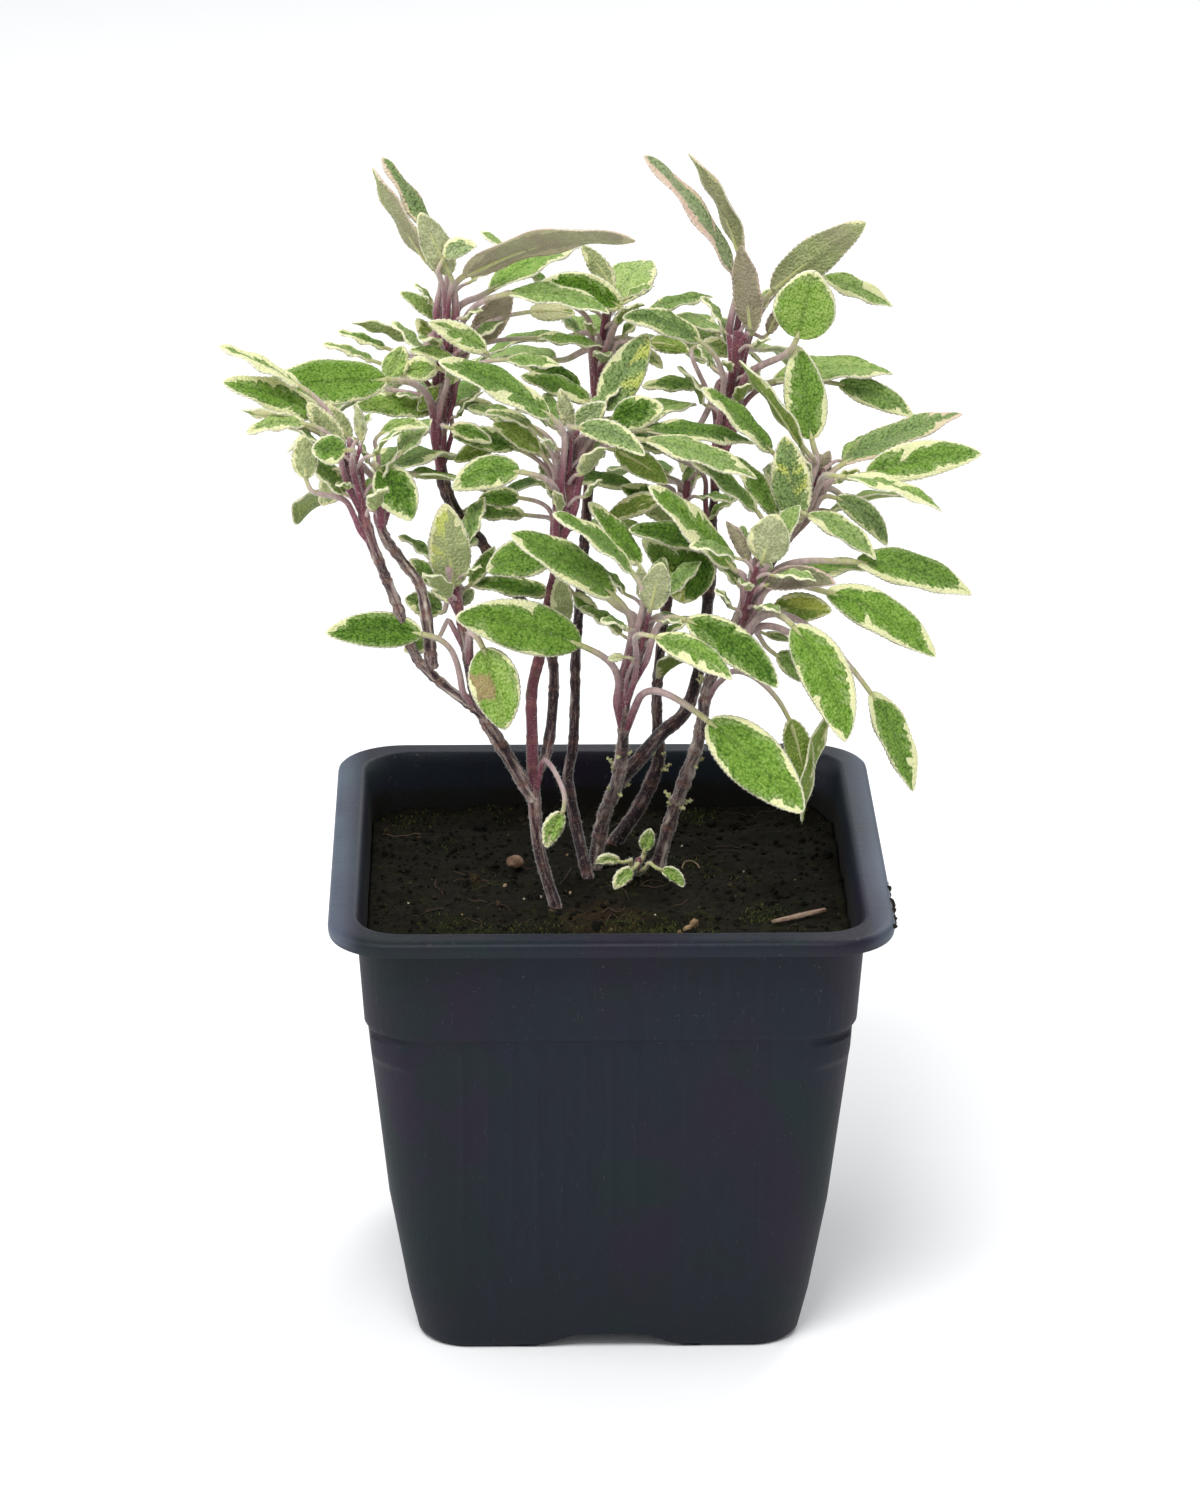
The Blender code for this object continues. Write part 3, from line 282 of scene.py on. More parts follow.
# %% Finishes
class Finish(Graph):
    """A material whose nodes are added by arithmetic."""

    def __init__(self, name, **constants):
        self.material = bpy.data.materials.new(name)
        self.material.use_nodes = True
        super().__init__(self.material.node_tree)
        self.shader = self.tree.nodes["Principled BSDF"]
        for socket, value in constants.items():
            self.shader.inputs[socket.replace("_", " ")].default_value = value

    def feed(self, socket, value):
        """Link a value to the shader."""
        self.tree.links.new(value.socket, self.shader.inputs[socket])

    def relief(self, height, depth):
        """Let a height in millimetres bend the light."""
        self.feed("Normal", self.add("ShaderNodeBump", {"Height": height, "Distance": depth * MM,
                                                        "Strength": 1.0}))

    def places(self):
        """Return the object's own coordinates, in millimetres."""
        place = self.add("ShaderNodeTexCoord", None, "Object")
        return self.stretch(place, (1000.0, 1000.0, 1000.0))

    def apart(self, place):
        """Split a place into its three numbers."""
        first = self.add("ShaderNodeSeparateXYZ", {0: place})
        return first, first.output("Y"), first.output("Z")


pale_floor = Finish("pale_floor", Roughness=0.9, Base_Color=(0.93, 0.93, 0.93, 1.0))
floor_mesh.materials.append(pale_floor.material)
print("floor finish ready")

# %% [markdown]
# ## Geometry Nodes trees
#
# What repeats or follows a path is made by a Geometry Nodes tree that the script builds: named
# inputs, a fixed seed, and at the end Realize Instances and Set Material. Its result is taken as a
# plain mesh and the modifier goes, so the piece holds nothing that an export could drop.

# %% Tree builder
class Grower(Graph):
    """A Geometry Nodes tree with named inputs."""

    def __init__(self, name, **inputs):
        super().__init__(bpy.data.node_groups.new(name, "GeometryNodeTree"))
        face = self.tree.interface
        for way in ("INPUT", "OUTPUT"):
            face.new_socket("Geometry", in_out=way, socket_type="NodeSocketGeometry")
        for label, value in inputs.items():
            kind = "NodeSocketInt" if isinstance(value, int) else "NodeSocketFloat"
            face.new_socket(label, in_out="INPUT", socket_type=kind).default_value = value
        self.start = self.tree.nodes.new("NodeGroupInput")
        self.close = self.tree.nodes.new("NodeGroupOutput")

    def given(self, label="Geometry"):
        """Return one of the tree's inputs."""
        return Value(self, self.start.outputs[label])

    def stored(self, name):
        """Read a number that is stored on the geometry."""
        return self.add("GeometryNodeInputNamedAttribute", {"Name": name}, data_type="FLOAT")

    def keep(self, geometry, name, value, kind="FLOAT"):
        """Store a number or a vector on the geometry's points."""
        return self.add("GeometryNodeStoreNamedAttribute",
                        {"Geometry": geometry, "Name": name, "Value": value},
                        data_type=kind, domain="POINT")

    def chance(self, low, high, seed):
        """Return a random number for each element, or a random vector between two vectors."""
        if isinstance(low, tuple):
            return self.add("FunctionNodeRandomValue", {0: low, 1: high, "Seed": seed},
                            data_type="FLOAT_VECTOR")
        return self.add("FunctionNodeRandomValue", {2: low, 3: high, "Seed": seed}, 1,
                        data_type="FLOAT")

    def sow(self, density, where=True):
        """Scatter points over the given mesh."""
        return self.add("GeometryNodeDistributePointsOnFaces", {
            0: self.given(), 1: where, "Density": density, "Seed": self.given("Seed")})

    def stand(self, points, form, turn, size):
        """Stand a form on each point, turned and sized."""
        return self.add("GeometryNodeInstanceOnPoints", {0: points, 2: form, 5: turn, 6: size})

    def sweep(self, curve, ring):
        """Sweep a ring along curves, as thick as their points say."""
        curve = self.add("GeometryNodeResampleCurve", {0: curve, 3: self.given("Step")},
                         mode="LENGTH")
        return self.add("GeometryNodeCurveToMesh", {
            0: curve, 1: ring, "Scale": self.stored("thick") * MM, "Fill Caps": True})

    def move(self, geometry, push):
        """Move each point by a vector."""
        return self.add("GeometryNodeSetPosition", {0: geometry, 3: push})

    def end(self, geometry, finish, smooth=True):
        """End the tree: realize, shade and set the finish."""
        real = self.add("GeometryNodeRealizeInstances", {0: geometry})
        shaded = self.add("GeometryNodeSetShadeSmooth", {0: real, 2: smooth})
        painted = self.add("GeometryNodeSetMaterial", {0: shaded, 2: finish.material})
        self.tree.links.new(painted.socket, self.close.inputs[0])
        return self

# %% Plain meshes and pieces
def new_mesh(name, verts, faces=(), edges=(), **numbers):
    """Make an object from points in millimetres and store numbers on its points."""
    mesh = bpy.data.meshes.new(name)
    mesh.from_pydata(np.asarray(verts, dtype=float) * MM, edges, faces)
    for label, values in numbers.items():
        values = np.asarray(values, dtype=np.float32)
        kind, key = ("FLOAT_VECTOR", "vector") if values.ndim == 2 else ("FLOAT", "value")
        mesh.attributes.new(label, kind, "POINT").data.foreach_set(key, values.ravel())
    thing = bpy.data.objects.new(name, mesh)
    scene.collection.objects.link(thing)
    return thing


def take_result(thing, modifier):
    """Keep what a modifier makes as a plain mesh and remove the modifier."""
    evaluated = thing.evaluated_get(bpy.context.evaluated_depsgraph_get())
    mesh = bpy.data.meshes.new_from_object(evaluated)
    thing.modifiers.remove(modifier)
    thing.data = mesh


def grow(thing, grower, **inputs):
    """Run a tree on an object and keep the result as a plain mesh."""
    modifier = thing.modifiers.new(grower.tree.name, "NODES")
    modifier.node_group = grower.tree
    for item in grower.tree.interface.items_tree:
        if item.in_out == "INPUT" and item.name in inputs:
            modifier[item.identifier] = inputs[item.name]
    take_result(thing, modifier)
    thing.data.name = thing.name
    return thing


def finish_piece(thing, node, finish=None):
    """Give a piece its finish and let it ride for its CAD node."""
    if finish:
        thing.data.materials.clear()
        thing.data.materials.append(finish.material)
    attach(thing, "root")
    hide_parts(node)
    thing.data.calc_loop_triangles()
    print(thing.name, len(thing.data.loop_triangles), "triangles")


print("helpers ready")

# %% [markdown]
# ## The shoots
#
# A sage shoot is a stem with pairs of long-stalked leaves near its top. Each leaf was read off the
# photograph: the pixels of its tip and of its blade's base, the width it shows, which face it
# shows, two depths, how far its midrib bows and where its stalk leaves the shoot. The solids were
# made from the same table, so the blades made here lie where the solids are. A name at a row's end
# is the leaf's look, where it differs from the plain green one, and a last number its yellow patch.

# %% Kinds of entry
class Leaf(NamedTuple):
    """One leaf as it is seen: pixels for places and widths, millimetres for depths."""
    tip: tuple
    base: tuple
    seen: float           # width as seen, in pixels
    face: int
    base_depth: float
    tip_depth: float
    bow: float            # pixels the midrib stands off its chord, up or right
    root: float           # place on the shoot's route where the stalk leaves it
    look: str = ""
    gold: float = 0.0     # how yellow its patch is; below 0 it has a dry spot instead


class Shoot(NamedTuple):
    """A shoot of a stem."""
    stem: str
    spare: int            # leaves on the far side, which the eye doesn't reach
    route: tuple          # entries of (across, down, depth, radius) from its foot to its top
    rows: tuple           # a leaf each, tip and base without brackets of their own


class Placed(NamedTuple):
    """A leaf in space: where it starts and ends, how it arches and which way it faces."""
    base: Vector
    tip: Vector
    arch: Vector
    width: float
    normal: Vector
    slide: Vector         # the way it may be bent clear
    foot: Vector
    rise: Vector          # the way its stalk leaves the stem


def read_leaf(row):
    """Turn a row of a table into a leaf."""
    return Leaf(row[:2], row[2:4], *row[4:])


# %% The table of shoots
TOP = 1                   # the leaf shows its upper face to the eye
UNDER = -1                # the leaf shows its underside
SHOOTS = {
    "centre": Shoot("left_stem", 2, (
        (556, 907, None, 1.1), (540, 853, -8, 1.15), (534, 795, -8, 1.25), (532, 731, -7, 1.15),
        (532, 690, -6, 1.15), (541, 650, -4, 1.2), (552, 590, -2, 1.3), (565, 520, 0, 1.7),
        (570, 430, 1, 0.9)), (
        (438, 362, 550, 416, 30, TOP, -4, -12, 6, 7.4, "striped"),
        (452, 490, 520, 472, 36, TOP, -7, -10, 8, 6.9, "striped"),
        (645, 456, 578, 428, 26, TOP, -6, -10, 8, 7.9, "grey"),
        (486, 572, 556, 556, 42, TOP, -8, -12, 6, 6.6, "striped"),
        (648, 333, 603, 410, 42, TOP, 4, 10, 0, 7.6, "grey", 0.9),
        (757, 479, 645, 440, 24, TOP, -2, -6, 6, 7.2),
        (560, 388, 571, 430, 18, UNDER, 1, 0, 0, 8.0, "pale"),
        (607, 404, 577, 428, 26, TOP, 0, -2, 2, 8.0, "pale"),
        (664, 408, 614, 424, 36, TOP, 2, 0, 4, 7.5, "dark"),
        (484, 413, 531, 427, 13, TOP, -1, -3, 5, 7.1),
        (560, 574, 563, 626, 24, UNDER, -6, -5, 0, 5.5, "grey"),
        (466, 408, 530, 425, 18, TOP, 6, 4, 3, 7.3),
        (478, 500, 520, 498, 22, TOP, 3, 3, 2, 6.8, "dark"),
        (461, 512, 525, 515, 18, TOP, 6, 8, 2, 6.7),
        (755, 444, 645, 430, 20, TOP, 8, 10, 5, 7.4),
        (599, 617, 574, 594, 18, TOP, 6, 8, 0, 6.0),
        (547, 849, 563, 812, 22, TOP, -12, -13, 3, 2.5, "bright"))),
    "left": Shoot("left_stem", 1, (
        (534, 800, -8, 1.2), (505, 752, -9, 1.25), (488, 725, -10, 1.3), (478, 711, -10, 1.6),
        (445, 686, -11, 1.6), (416, 657, -13, 1.5), (397, 605, -15, 1.1), (381, 566, -16, 1.1),
        (367, 528, -17, 1.3), (350, 450, -18, 0.8)), (
        (218, 346, 300, 386, 13, TOP, -14, -16, 3, 8.9, "cream"),
        (222, 382, 320, 416, 32, TOP, -12, -18, 5, 8.8, "wide"),
        (311, 449, 346, 450, 32, TOP, -24, -26, 0, 8.8),
        (246, 434, 306, 424, 17, TOP, -20, -24, 6, 8.6),
        (240, 410, 303, 426, 11, UNDER, -18, -22, 2, 8.7, "cream"),
        (308, 402, 343, 440, 24, UNDER, -14, -14, -3, 9.0, "grey"),
        (303, 434, 306, 479, 28, UNDER, -22, -22, 0, 8.2, "grey"),
        (322, 506, 343, 468, 30, UNDER, -14, -12, 0, 8.5, "grey"),
        (357, 404, 362, 442, 13, UNDER, -16, -15, 0, 9.0, "pale"))),
    "second_left": Shoot("left_stem", 2, (
        (432, 668, -12, 1.2), (422, 592, -12, 1.0), (402, 561, -12, 1.0), (381, 525, -13, 1.1),
        (390, 462, -12, 0.7)), (
        (411, 521, 378, 468, 44, TOP, -18, -20, 3, 3.5, "dark"),
        (430, 428, 380, 434, 15, TOP, -12, -10, 7, 3.9))),
    "side": Shoot("left_stem", 1, (
        (480, 709, -10, 1.2), (473, 690, -11, 0.9), (465, 645, -12, 0.9), (458, 604, -12, 1.0),
        (453, 565, -12, 0.7)), (
        (445, 503, 453, 588, 44, UNDER, -13, -13, 0, 4.0, "grey", 1.0),
        (325, 633, 422, 634, 38, TOP, -15, -18, 4, 1.0, "dark"),
        (505, 730, 483, 648, 52, TOP, -17, -19, 2, 2.2, "bright", -1.0),
        (430, 590, 456, 603, 14, TOP, -14, -15, 2, 3.6, "pale"),
        (474, 589, 459, 604, 16, TOP, -11, -11, 0, 3.6, "pale"),
        (404, 600, 441, 613, 28, TOP, -10, -9, 3, 3.3),
        (404, 652, 432, 642, 20, TOP, -12, -12, 2, 2.6),
        (409, 559, 440, 588, 20, TOP, -5, -3, 2, 3.3),
        (495, 546, 470, 585, 17, TOP, -4, 0, 0, 3.2))),
    "tall": Shoot("left_stem", 3, (
        (535, 775, -8, 1.1), (546, 754, -5, 1.0), (552, 715, -1, 0.95), (553, 663, 4, 0.95),
        (538, 622, 7, 1.0), (505, 580, 9, 1.05), (480, 540, 10, 1.15), (456, 512, 10, 1.35),
        (442, 475, 10, 1.4), (442, 432, 10, 1.9), (447, 300, 8, 1.1)), (
        (252, 395, 387, 380, 48, TOP, -3, -17, 4, 8.9, "wide"),
        (372, 167, 436, 270, 17, UNDER, 7, 6, -3, 9.9, "pink"),
        (381, 157, 440, 250, 18, TOP, 12, 12, 2, 9.8, "pink"),
        (420, 212, 450, 275, 32, UNDER, 4, 2, 0, 10.0, "pale"),
        (636, 241, 464, 276, 24, UNDER, 6, -2, 16, 9.9, "mauve"),
        (610, 314, 508, 294, 27, TOP, 6, 2, 9, 9.55),
        (428, 322, 486, 352, 26, TOP, 0, -2, 3, 9.55, "cream"),
        (512, 290, 474, 345, 32, UNDER, 14, 14, 0, 9.6, "purple"),
        (399, 292, 443, 322, 18, TOP, 12, 12, 3, 9.7),
        (576, 314, 529, 312, 22, UNDER, 9, 8, 2, 9.4, "cream"),
        (408, 351, 454, 362, 15, TOP, 2, 0, 4, 9.4),
        (400, 374, 438, 368, 28, TOP, 6, 4, 2, 9.1),
        (403, 345, 386, 379, 28, TOP, 8, 10, -2, 9.15),
        (351, 323, 419, 344, 12, UNDER, 16, 16, 4, 9.4),
        (337, 331, 386, 348, 10, TOP, 18, 18, 1, 9.3),
        (322, 344, 374, 361, 15, TOP, 14, 12, 2, 9.2),
        (416, 318, 440, 350, 20, UNDER, 14, 14, 0, 9.5),
        (604, 347, 535, 338, 12, TOP, 11, 12, 3, 9.3),
        (562, 366, 505, 360, 14, TOP, 7, 6, 2, 9.25),
        (492, 443, 450, 428, 20, TOP, 4, 0, 3, 9.0),
        (398, 436, 432, 428, 18, TOP, 12, 8, 2, 9.0))),
    "front": Shoot("front_stem", 2, (
        (594, 868, None, 1.4), (604, 816, 8, 1.35), (616, 786, 3, 1.4), (622, 752, -1, 1.35),
        (626, 704, -5, 1.6), (638, 655, -8, 1.5), (650, 606, -10, 0.9)), (
        (455, 617, 580, 645, 54, TOP, -11, -22, 6, 4.05, "wide"),
        (803, 813, 708, 721, 60, TOP, -16, -28, 4, 4.0, "wide"),
        (510, 534, 613, 595, 38, TOP, -12, -18, 5, 4.5, "striped"),
        (778, 688, 686, 620, 40, TOP, -14, -20, 8, 5.0, "dark"),
        (732, 680, 655, 637, 30, TOP, -20, -28, 6, 4.6),
        (552, 514, 632, 572, 18, TOP, -14, -20, 7, 5.0, "striped"),
        (662, 562, 650, 610, 32, UNDER, -13, -14, 0, 6.0, "pale"),
        (640, 562, 645, 606, 14, UNDER, -8, -8, 0, 6.0, "pale"),
        (588, 502, 640, 566, 24, TOP, -3, 0, 3, 5.6),
        (607, 660, 624, 657, 10, TOP, -12, -14, 1, 4.6))),
    "tall_right": Shoot("front_stem", 4, (
        (618, 784, 3, 1.2), (640, 758, 6, 1.35), (662, 733, 10, 1.35), (686, 710, 13, 1.3),
        (701, 660, 17, 1.2), (708, 600, 19, 1.2), (712, 545, 20, 1.4), (713, 508, 20, 2.2),
        (726, 421, 20, 2.1), (739, 331, 18, 1.4)), (
        (643, 156, 733, 272, 19, TOP, 18, 14, 8, 9.0, "mauve"),
        (688, 153, 743, 262, 16, UNDER, 22, 24, 7, 9.0, "pink"),
        (741, 245, 752, 333, 30, UNDER, 16, 14, 0, 9.0, "purple"),
        (866, 222, 772, 292, 40, UNDER, 20, 16, 3, 8.9, "pink"),
        (815, 270, 797, 338, 64, TOP, 12, 8, 0, 8.3, "bright"),
        (893, 307, 822, 278, 22, TOP, 26, 28, 4, 8.5),
        (622, 318, 700, 341, 26, TOP, 14, 8, 8, 7.6),
        (914, 417, 838, 384, 28, TOP, 26, 26, 5, 7.9),
        (780, 306, 768, 334, 14, UNDER, 22, 22, 0, 8.9, "purple"),
        (735, 356, 702, 345, 22, TOP, 26, 28, 3, 7.8),
        (641, 387, 700, 386, 17, TOP, 20, 18, 3, 7.5),
        (616, 437, 664, 452, 18, TOP, 14, 10, 4, 7.1))),
    "right": Shoot("right_stem", 2, (
        (657, 868, None, 1.3), (674, 810, 9, 1.3), (686, 777, 6, 1.35), (697, 746, 3, 1.3),
        (703, 715, 0, 1.3), (708, 682, -3, 1.7), (727, 648, -6, 1.8), (743, 620, -8, 1.8),
        (757, 566, -10, 1.0)), (
        (845, 742, 793, 626, 52, TOP, -14, -24, 10, 6.9, "wide"),
        (936, 657, 826, 592, 42, TOP, -8, -12, 9, 7.3, "wide"),
        (913, 792, 870, 692, 34, TOP, -4, -8, 6, 6.7, "striped"),
        (972, 595, 856, 562, 37, TOP, -2, 0, 8, 7.4, "striped"),
        (777, 514, 762, 562, 44, UNDER, -10, -11, 0, 8.0, "pale"),
        (836, 584, 764, 586, 26, TOP, -10, -12, 8, 7.7, "purple"),
        (648, 486, 731, 567, 30, TOP, -6, -10, 4, 7.6, "wide"),
        (726, 521, 749, 562, 16, UNDER, -8, -7, 2, 8.0, "purple"),
        (805, 790, 789, 719, 30, UNDER, -10, -10, 3, 5.2, "olive"),
        (802, 823, 832, 708, 13, UNDER, -6, -12, 6, 6.5, "olive"),
        (832, 611, 772, 612, 32, UNDER, 0, 0, 4, 7.0, "olive", 1.0),
        (815, 687, 776, 655, 26, TOP, -4, -4, 4, 6.6),
        (688, 458, 757, 511, 17, TOP, -2, -4, 4, 7.9),
        (792, 641, 765, 634, 10, TOP, -2, -2, 1, 6.9))),
    "upper_right": Shoot("right_stem", 3, (
        (708, 684, -2, 1.2), (728, 640, 3, 1.2), (762, 575, 7, 1.2), (800, 520, 8, 1.6),
        (824, 468, 10, 0.9)), (
        (785, 435, 796, 520, 42, TOP, 2, 2, 0, 3.2, "grey", 0.95),
        (982, 454, 866, 474, 40, TOP, 4, 4, 5, 3.5, "striped"),
        (963, 414, 843, 464, 27, TOP, 12, 16, 6, 3.7, "pink"),
        (797, 345, 812, 440, 44, TOP, 10, 14, 0, 3.9, "striped"),
        (942, 512, 846, 477, 15, TOP, -2, -6, 8, 3.4, "cream"),
        (876, 560, 807, 515, 24, TOP, 0, -4, 8, 3.0),
        (887, 546, 836, 498, 26, TOP, 6, 6, 8, 3.2, "grey"),
        (739, 360, 803, 447, 13, UNDER, 6, 4, 3, 3.8),
        (830, 450, 808, 503, 22, UNDER, 8, 8, 0, 4.0, "purple"),
        (701, 388, 772, 452, 21, TOP, 6, 4, 4, 3.7, "striped"))),
    "back_left": Shoot("back_left_stem", 6, (
        (588, 877, None, 1.1), (578, 835, 10, 1.1), (570, 795, 13, 1.1), (568, 774, 15, 1.05),
        (573, 746, 17, 1.0), (575, 700, 20, 1.0), (576, 650, 22, 1.0), (583, 560, 25, 1.1),
        (590, 470, 27, 1.2), (598, 375, 28, 1.6), (606, 312, 28, 0.9)), (
        (538, 284, 622, 308, 34, TOP, 24, 18, 8, 9.6),
        (714, 297, 647, 312, 14, TOP, 30, 32, 4, 9.8),
        (581, 245, 613, 290, 22, UNDER, 30, 32, 2, 10.0, "grey"),
        (480, 231, 548, 288, 11, TOP, 30, 34, 3, 9.5),
        (690, 352, 648, 343, 20, UNDER, 26, 24, 3, 9.3),
        (663, 369, 640, 350, 14, TOP, 28, 28, 2, 9.1))),
    "back_right": Shoot("back_right_stem", 6, (
        (612, 846, None, 1.4), (634, 815, 22, 1.4), (650, 785, 22, 1.4), (659, 758, 22, 1.3),
        (658, 735, 22, 1.1), (657, 690, 22, 1.1), (664, 620, 20, 1.1), (676, 560, 18, 1.3),
        (688, 480, 16, 0.9)), (
        (684, 604, 688, 547, 60, TOP, 6, 4, 0, 7.3, "dark", 1.0),
        (628, 530, 712, 548, 26, TOP, 2, -2, 5, 7.1, "dark"),
        (628, 498, 682, 520, 30, UNDER, 12, 10, 4, 7.5))),
    "seedling": Shoot("seedling", 0, (
        (636, 874, None, 0.9), (637, 866, 6, 0.85), (640, 857, 6, 0.7)), (
        (594, 864, 620, 862, 13, TOP, 3, 0, 4, 1.2, "bright"),
        (614, 890, 633, 869, 18, TOP, 2, -1, 2, 1.0, "bright"),
        (651, 828, 644, 851, 17, TOP, 7, 8, 0, 2.0, "bright"),
        (684, 888, 661, 870, 15, TOP, 3, 1, 4, 1.3, "bright"))),
}
print(sum(len(shoot.rows) for shoot in SHOOTS.values()), "leaves seen on", len(SHOOTS), "shoots")

# %% [markdown]
# ## From pixels to places
#
# These functions turn an entry into a leaf in space: base and tip on their sight lines, the width
# turned away from the eye until it shows as much as in the photograph, and a stalk that leaves the
# stem along it and bends over into the blade.

# %% Measures of a leaf, and a shoot's route
SOIL_TOP = 75.5
BLADE_THICK = 0.7
WAVE_HIGH = 0.35
STATIONS_LARGE = (0.10, 0.29, 0.50, 0.72, 0.91)
STATIONS_SMALL = (0.13, 0.38, 0.66, 0.90)
STATIONS_TINY = (0.16, 0.48, 0.85)
SMALL_BLADE = 16.0
TINY_BLADE = 11.0
WIDE_BLADE = 7.5
WIDTH_RATIO = 0.34        # a blade is at least this wide for its length
CUP = 0.12
STALK_SUNK = 1.3          # how far below its place a stalk starts inside its stem
BACK_LIMIT = 49.5
SPARE_SEED = 11
SPARE_STALK = (8.0, 12.0)
SPARE_LENGTH = (19.0, 26.0)
SPARE_LIFT = (-0.6, 0.1)
SPARE_ARCH = (1.0, 3.0)
SPARE_WIDTH = 0.42


def route_points(shoot):
    """Turn a shoot's route into points in space."""
    return [at_level((across, down), SOIL_TOP) if depth is None else at_depth((across, down), depth)
            for across, down, depth, _ in shoot.route]


def along_route(points, place):
    """Return the point at a place on a route, and the route's direction there."""
    index = min(int(place), len(points) - 2)
    start, finish = points[index], points[index + 1]
    return start.lerp(finish, place - index), (finish - start).normalized()

# %% Rows of a blade
def blade_profile(share):
    """Return a leaf's half width at a share of its length, as part of the whole half width."""
    return math.sin(math.pi * share ** 0.9) ** 0.75


def midrib(leaf, share):
    """Return a point on a leaf's midrib."""
    return leaf.base.lerp(leaf.tip, share) + leaf.arch * (4 * share * (1 - share))


def blade_rows(leaf):
    """Return the blade's stations: rows of two or three places, each with its upward direction."""
    length = (leaf.tip - leaf.base).length
    stations = STATIONS_SMALL if length < SMALL_BLADE else STATIONS_LARGE
    if length < TINY_BLADE:
        stations = STATIONS_TINY
    rows = []
    for number, share in enumerate(stations):
        along = (midrib(leaf, share + 0.02) - midrib(leaf, share - 0.02)).normalized()
        across = along.cross(leaf.normal).normalized()
        up = across.cross(along)
        reach = leaf.width / 2 * blade_profile(share)
        wave = WAVE_HIGH * (1 if number % 2 else -1)
        middle = midrib(leaf, share)
        cup = CUP * reach if leaf.width > WIDE_BLADE else 0.0
        left = (middle - across * reach + up * (cup + wave), up)
        right = (middle + across * reach + up * (cup - wave), up)
        rows.append([left, (middle, up), right] if leaf.width > WIDE_BLADE else [left, right])
    return rows

# %% Leaf in space
def place_leaf(leaf, points):
    """Put a leaf that was read from the photograph in space."""
    base = at_depth(leaf.base, leaf.base_depth)
    tip = at_depth(leaf.tip, leaf.tip_depth)
    middle = ((leaf.base[0] + leaf.tip[0]) / 2, (leaf.base[1] + leaf.tip[1]) / 2)
    ray = sight(*middle).normalized()
    per_pixel = (base - EYE).length / VIEW_FOCUS
    aim = Vector((leaf.tip[0] - leaf.base[0], leaf.tip[1] - leaf.base[1])).normalized()
    off = Vector((-aim.y, aim.x))
    if -off.y + 0.2 * off.x < 0:
        off = -off
    arch = (RIGHT * off.x - UP * off.y) * (leaf.bow * per_pixel)
    along = (tip - base).normalized()
    toward = (-ray + along * ray.dot(along)).normalized()
    aside = along.cross(toward)
    if aside.z + 0.2 * aside.x < 0:
        aside = -aside
    seen = leaf.seen * per_pixel
    width = max(seen, WIDTH_RATIO * (tip - base).length)
    lean = math.acos(min(seen / width, 1.0))
    normal = (toward * (leaf.face * math.cos(lean)) + aside * math.sin(lean)).normalized()
    foot, rise = along_route(points, leaf.root)
    return Placed(base, tip, arch, width, normal, ray, foot - rise * STALK_SUNK, rise)


def spare_leaves(shoot, points, rng):
    """Place the leaves of a shoot that the eye doesn't reach, round its far side."""
    crown = len(points) - 2
    for number in range(shoot.spare):
        turn = math.pi * (number + 0.5 + rng.uniform(-0.2, 0.2)) / shoot.spare
        away = Vector((math.cos(turn), math.sin(turn), 0.0))
        foot, rise = along_route(points, crown + 0.1 + 0.7 * rng.random())
        lift = rng.uniform(*SPARE_LIFT)
        base = foot + away * rng.uniform(*SPARE_STALK) + Vector((0, 0, 3.0 + 5.0 * lift))
        length = rng.uniform(*SPARE_LENGTH)
        tip = base + (away + Vector((0, 0, lift))).normalized() * length
        base.y = min(base.y, BACK_LIMIT - 9.0)
        if tip.y > BACK_LIMIT:
            tip.z += 0.8 * (tip.y - BACK_LIMIT)
            tip.y = BACK_LIMIT
        along = (tip - base).normalized()
        normal = (UPRIGHT - along * along.z).normalized()
        yield Placed(base, tip, normal * rng.uniform(*SPARE_ARCH), length * SPARE_WIDTH, normal,
                     UPRIGHT, foot - rise * STALK_SUNK, rise)


routes = {key: route_points(shoot) for key, shoot in SHOOTS.items()}
print("the tallest shoot ends", round(max(route[-1].z for route in routes.values())), "mm up")

# %% [markdown]
# ## Find each leaf in its solid
#
# In the solids a leaf that would have crossed another stem was bent a little. The same bends are
# tried here, and the one whose corners lie on the solid's own points is taken. So no blade made
# here can part from its solid.

# %% Match leaves with solids
BENDS = (0, 2, -2, 4, -4, 6, -6, 8, -8, 11, -11, 14, -14, 18, -18)
BASE_SHARES = (0.3, 0.0, 0.8)
TWISTS = (0, 12, -12, 25, -25, 45, -45)
WAYS = [(bend, share, twist) for bend in BENDS for share in BASE_SHARES for twist in TWISTS
        if bend or share == BASE_SHARES[0]]
MISS_MOST = 0.6           # a corner further off than this counts as this
MISS_NONE = 0.05
MISS_ALL = 2.6            # a leaf with a greater sum isn't in the solid


def bent(leaf, tip_bend, base_share, twist):
    """Return a leaf moved a little along its free direction and twisted about its midrib."""
    tip = leaf.tip + leaf.slide * tip_bend
    base = leaf.base + leaf.slide * (tip_bend * base_share)
    turn = Matrix.Rotation(math.radians(twist), 3, (leaf.tip - leaf.base).normalized())
    return leaf._replace(tip=tip, base=base, normal=turn @ leaf.normal)


def corners(leaf):
    """Return points that the leaf's blade has in the solid."""
    rows = blade_rows(leaf)
    thick = BLADE_THICK / 2
    tip_up = rows[-1][0][1] * thick
    spots = [place + up * thick for row in rows[1:3] for place, up in (row[0], row[-1])]
    return spots + [leaf.tip + tip_up, leaf.tip - tip_up]


def find_leaf(leaf, points):
    """Return the leaf as it is in the solid, or None where the solid has none."""
    choice, least = None, MISS_ALL
    for way in WAYS:
        trial = bent(leaf, *way)
        miss = sum(min(points.find(spot)[2], MISS_MOST) for spot in corners(trial))
        if miss < least:
            choice, least = trial, miss
        if miss < MISS_NONE:
            break
    return choice


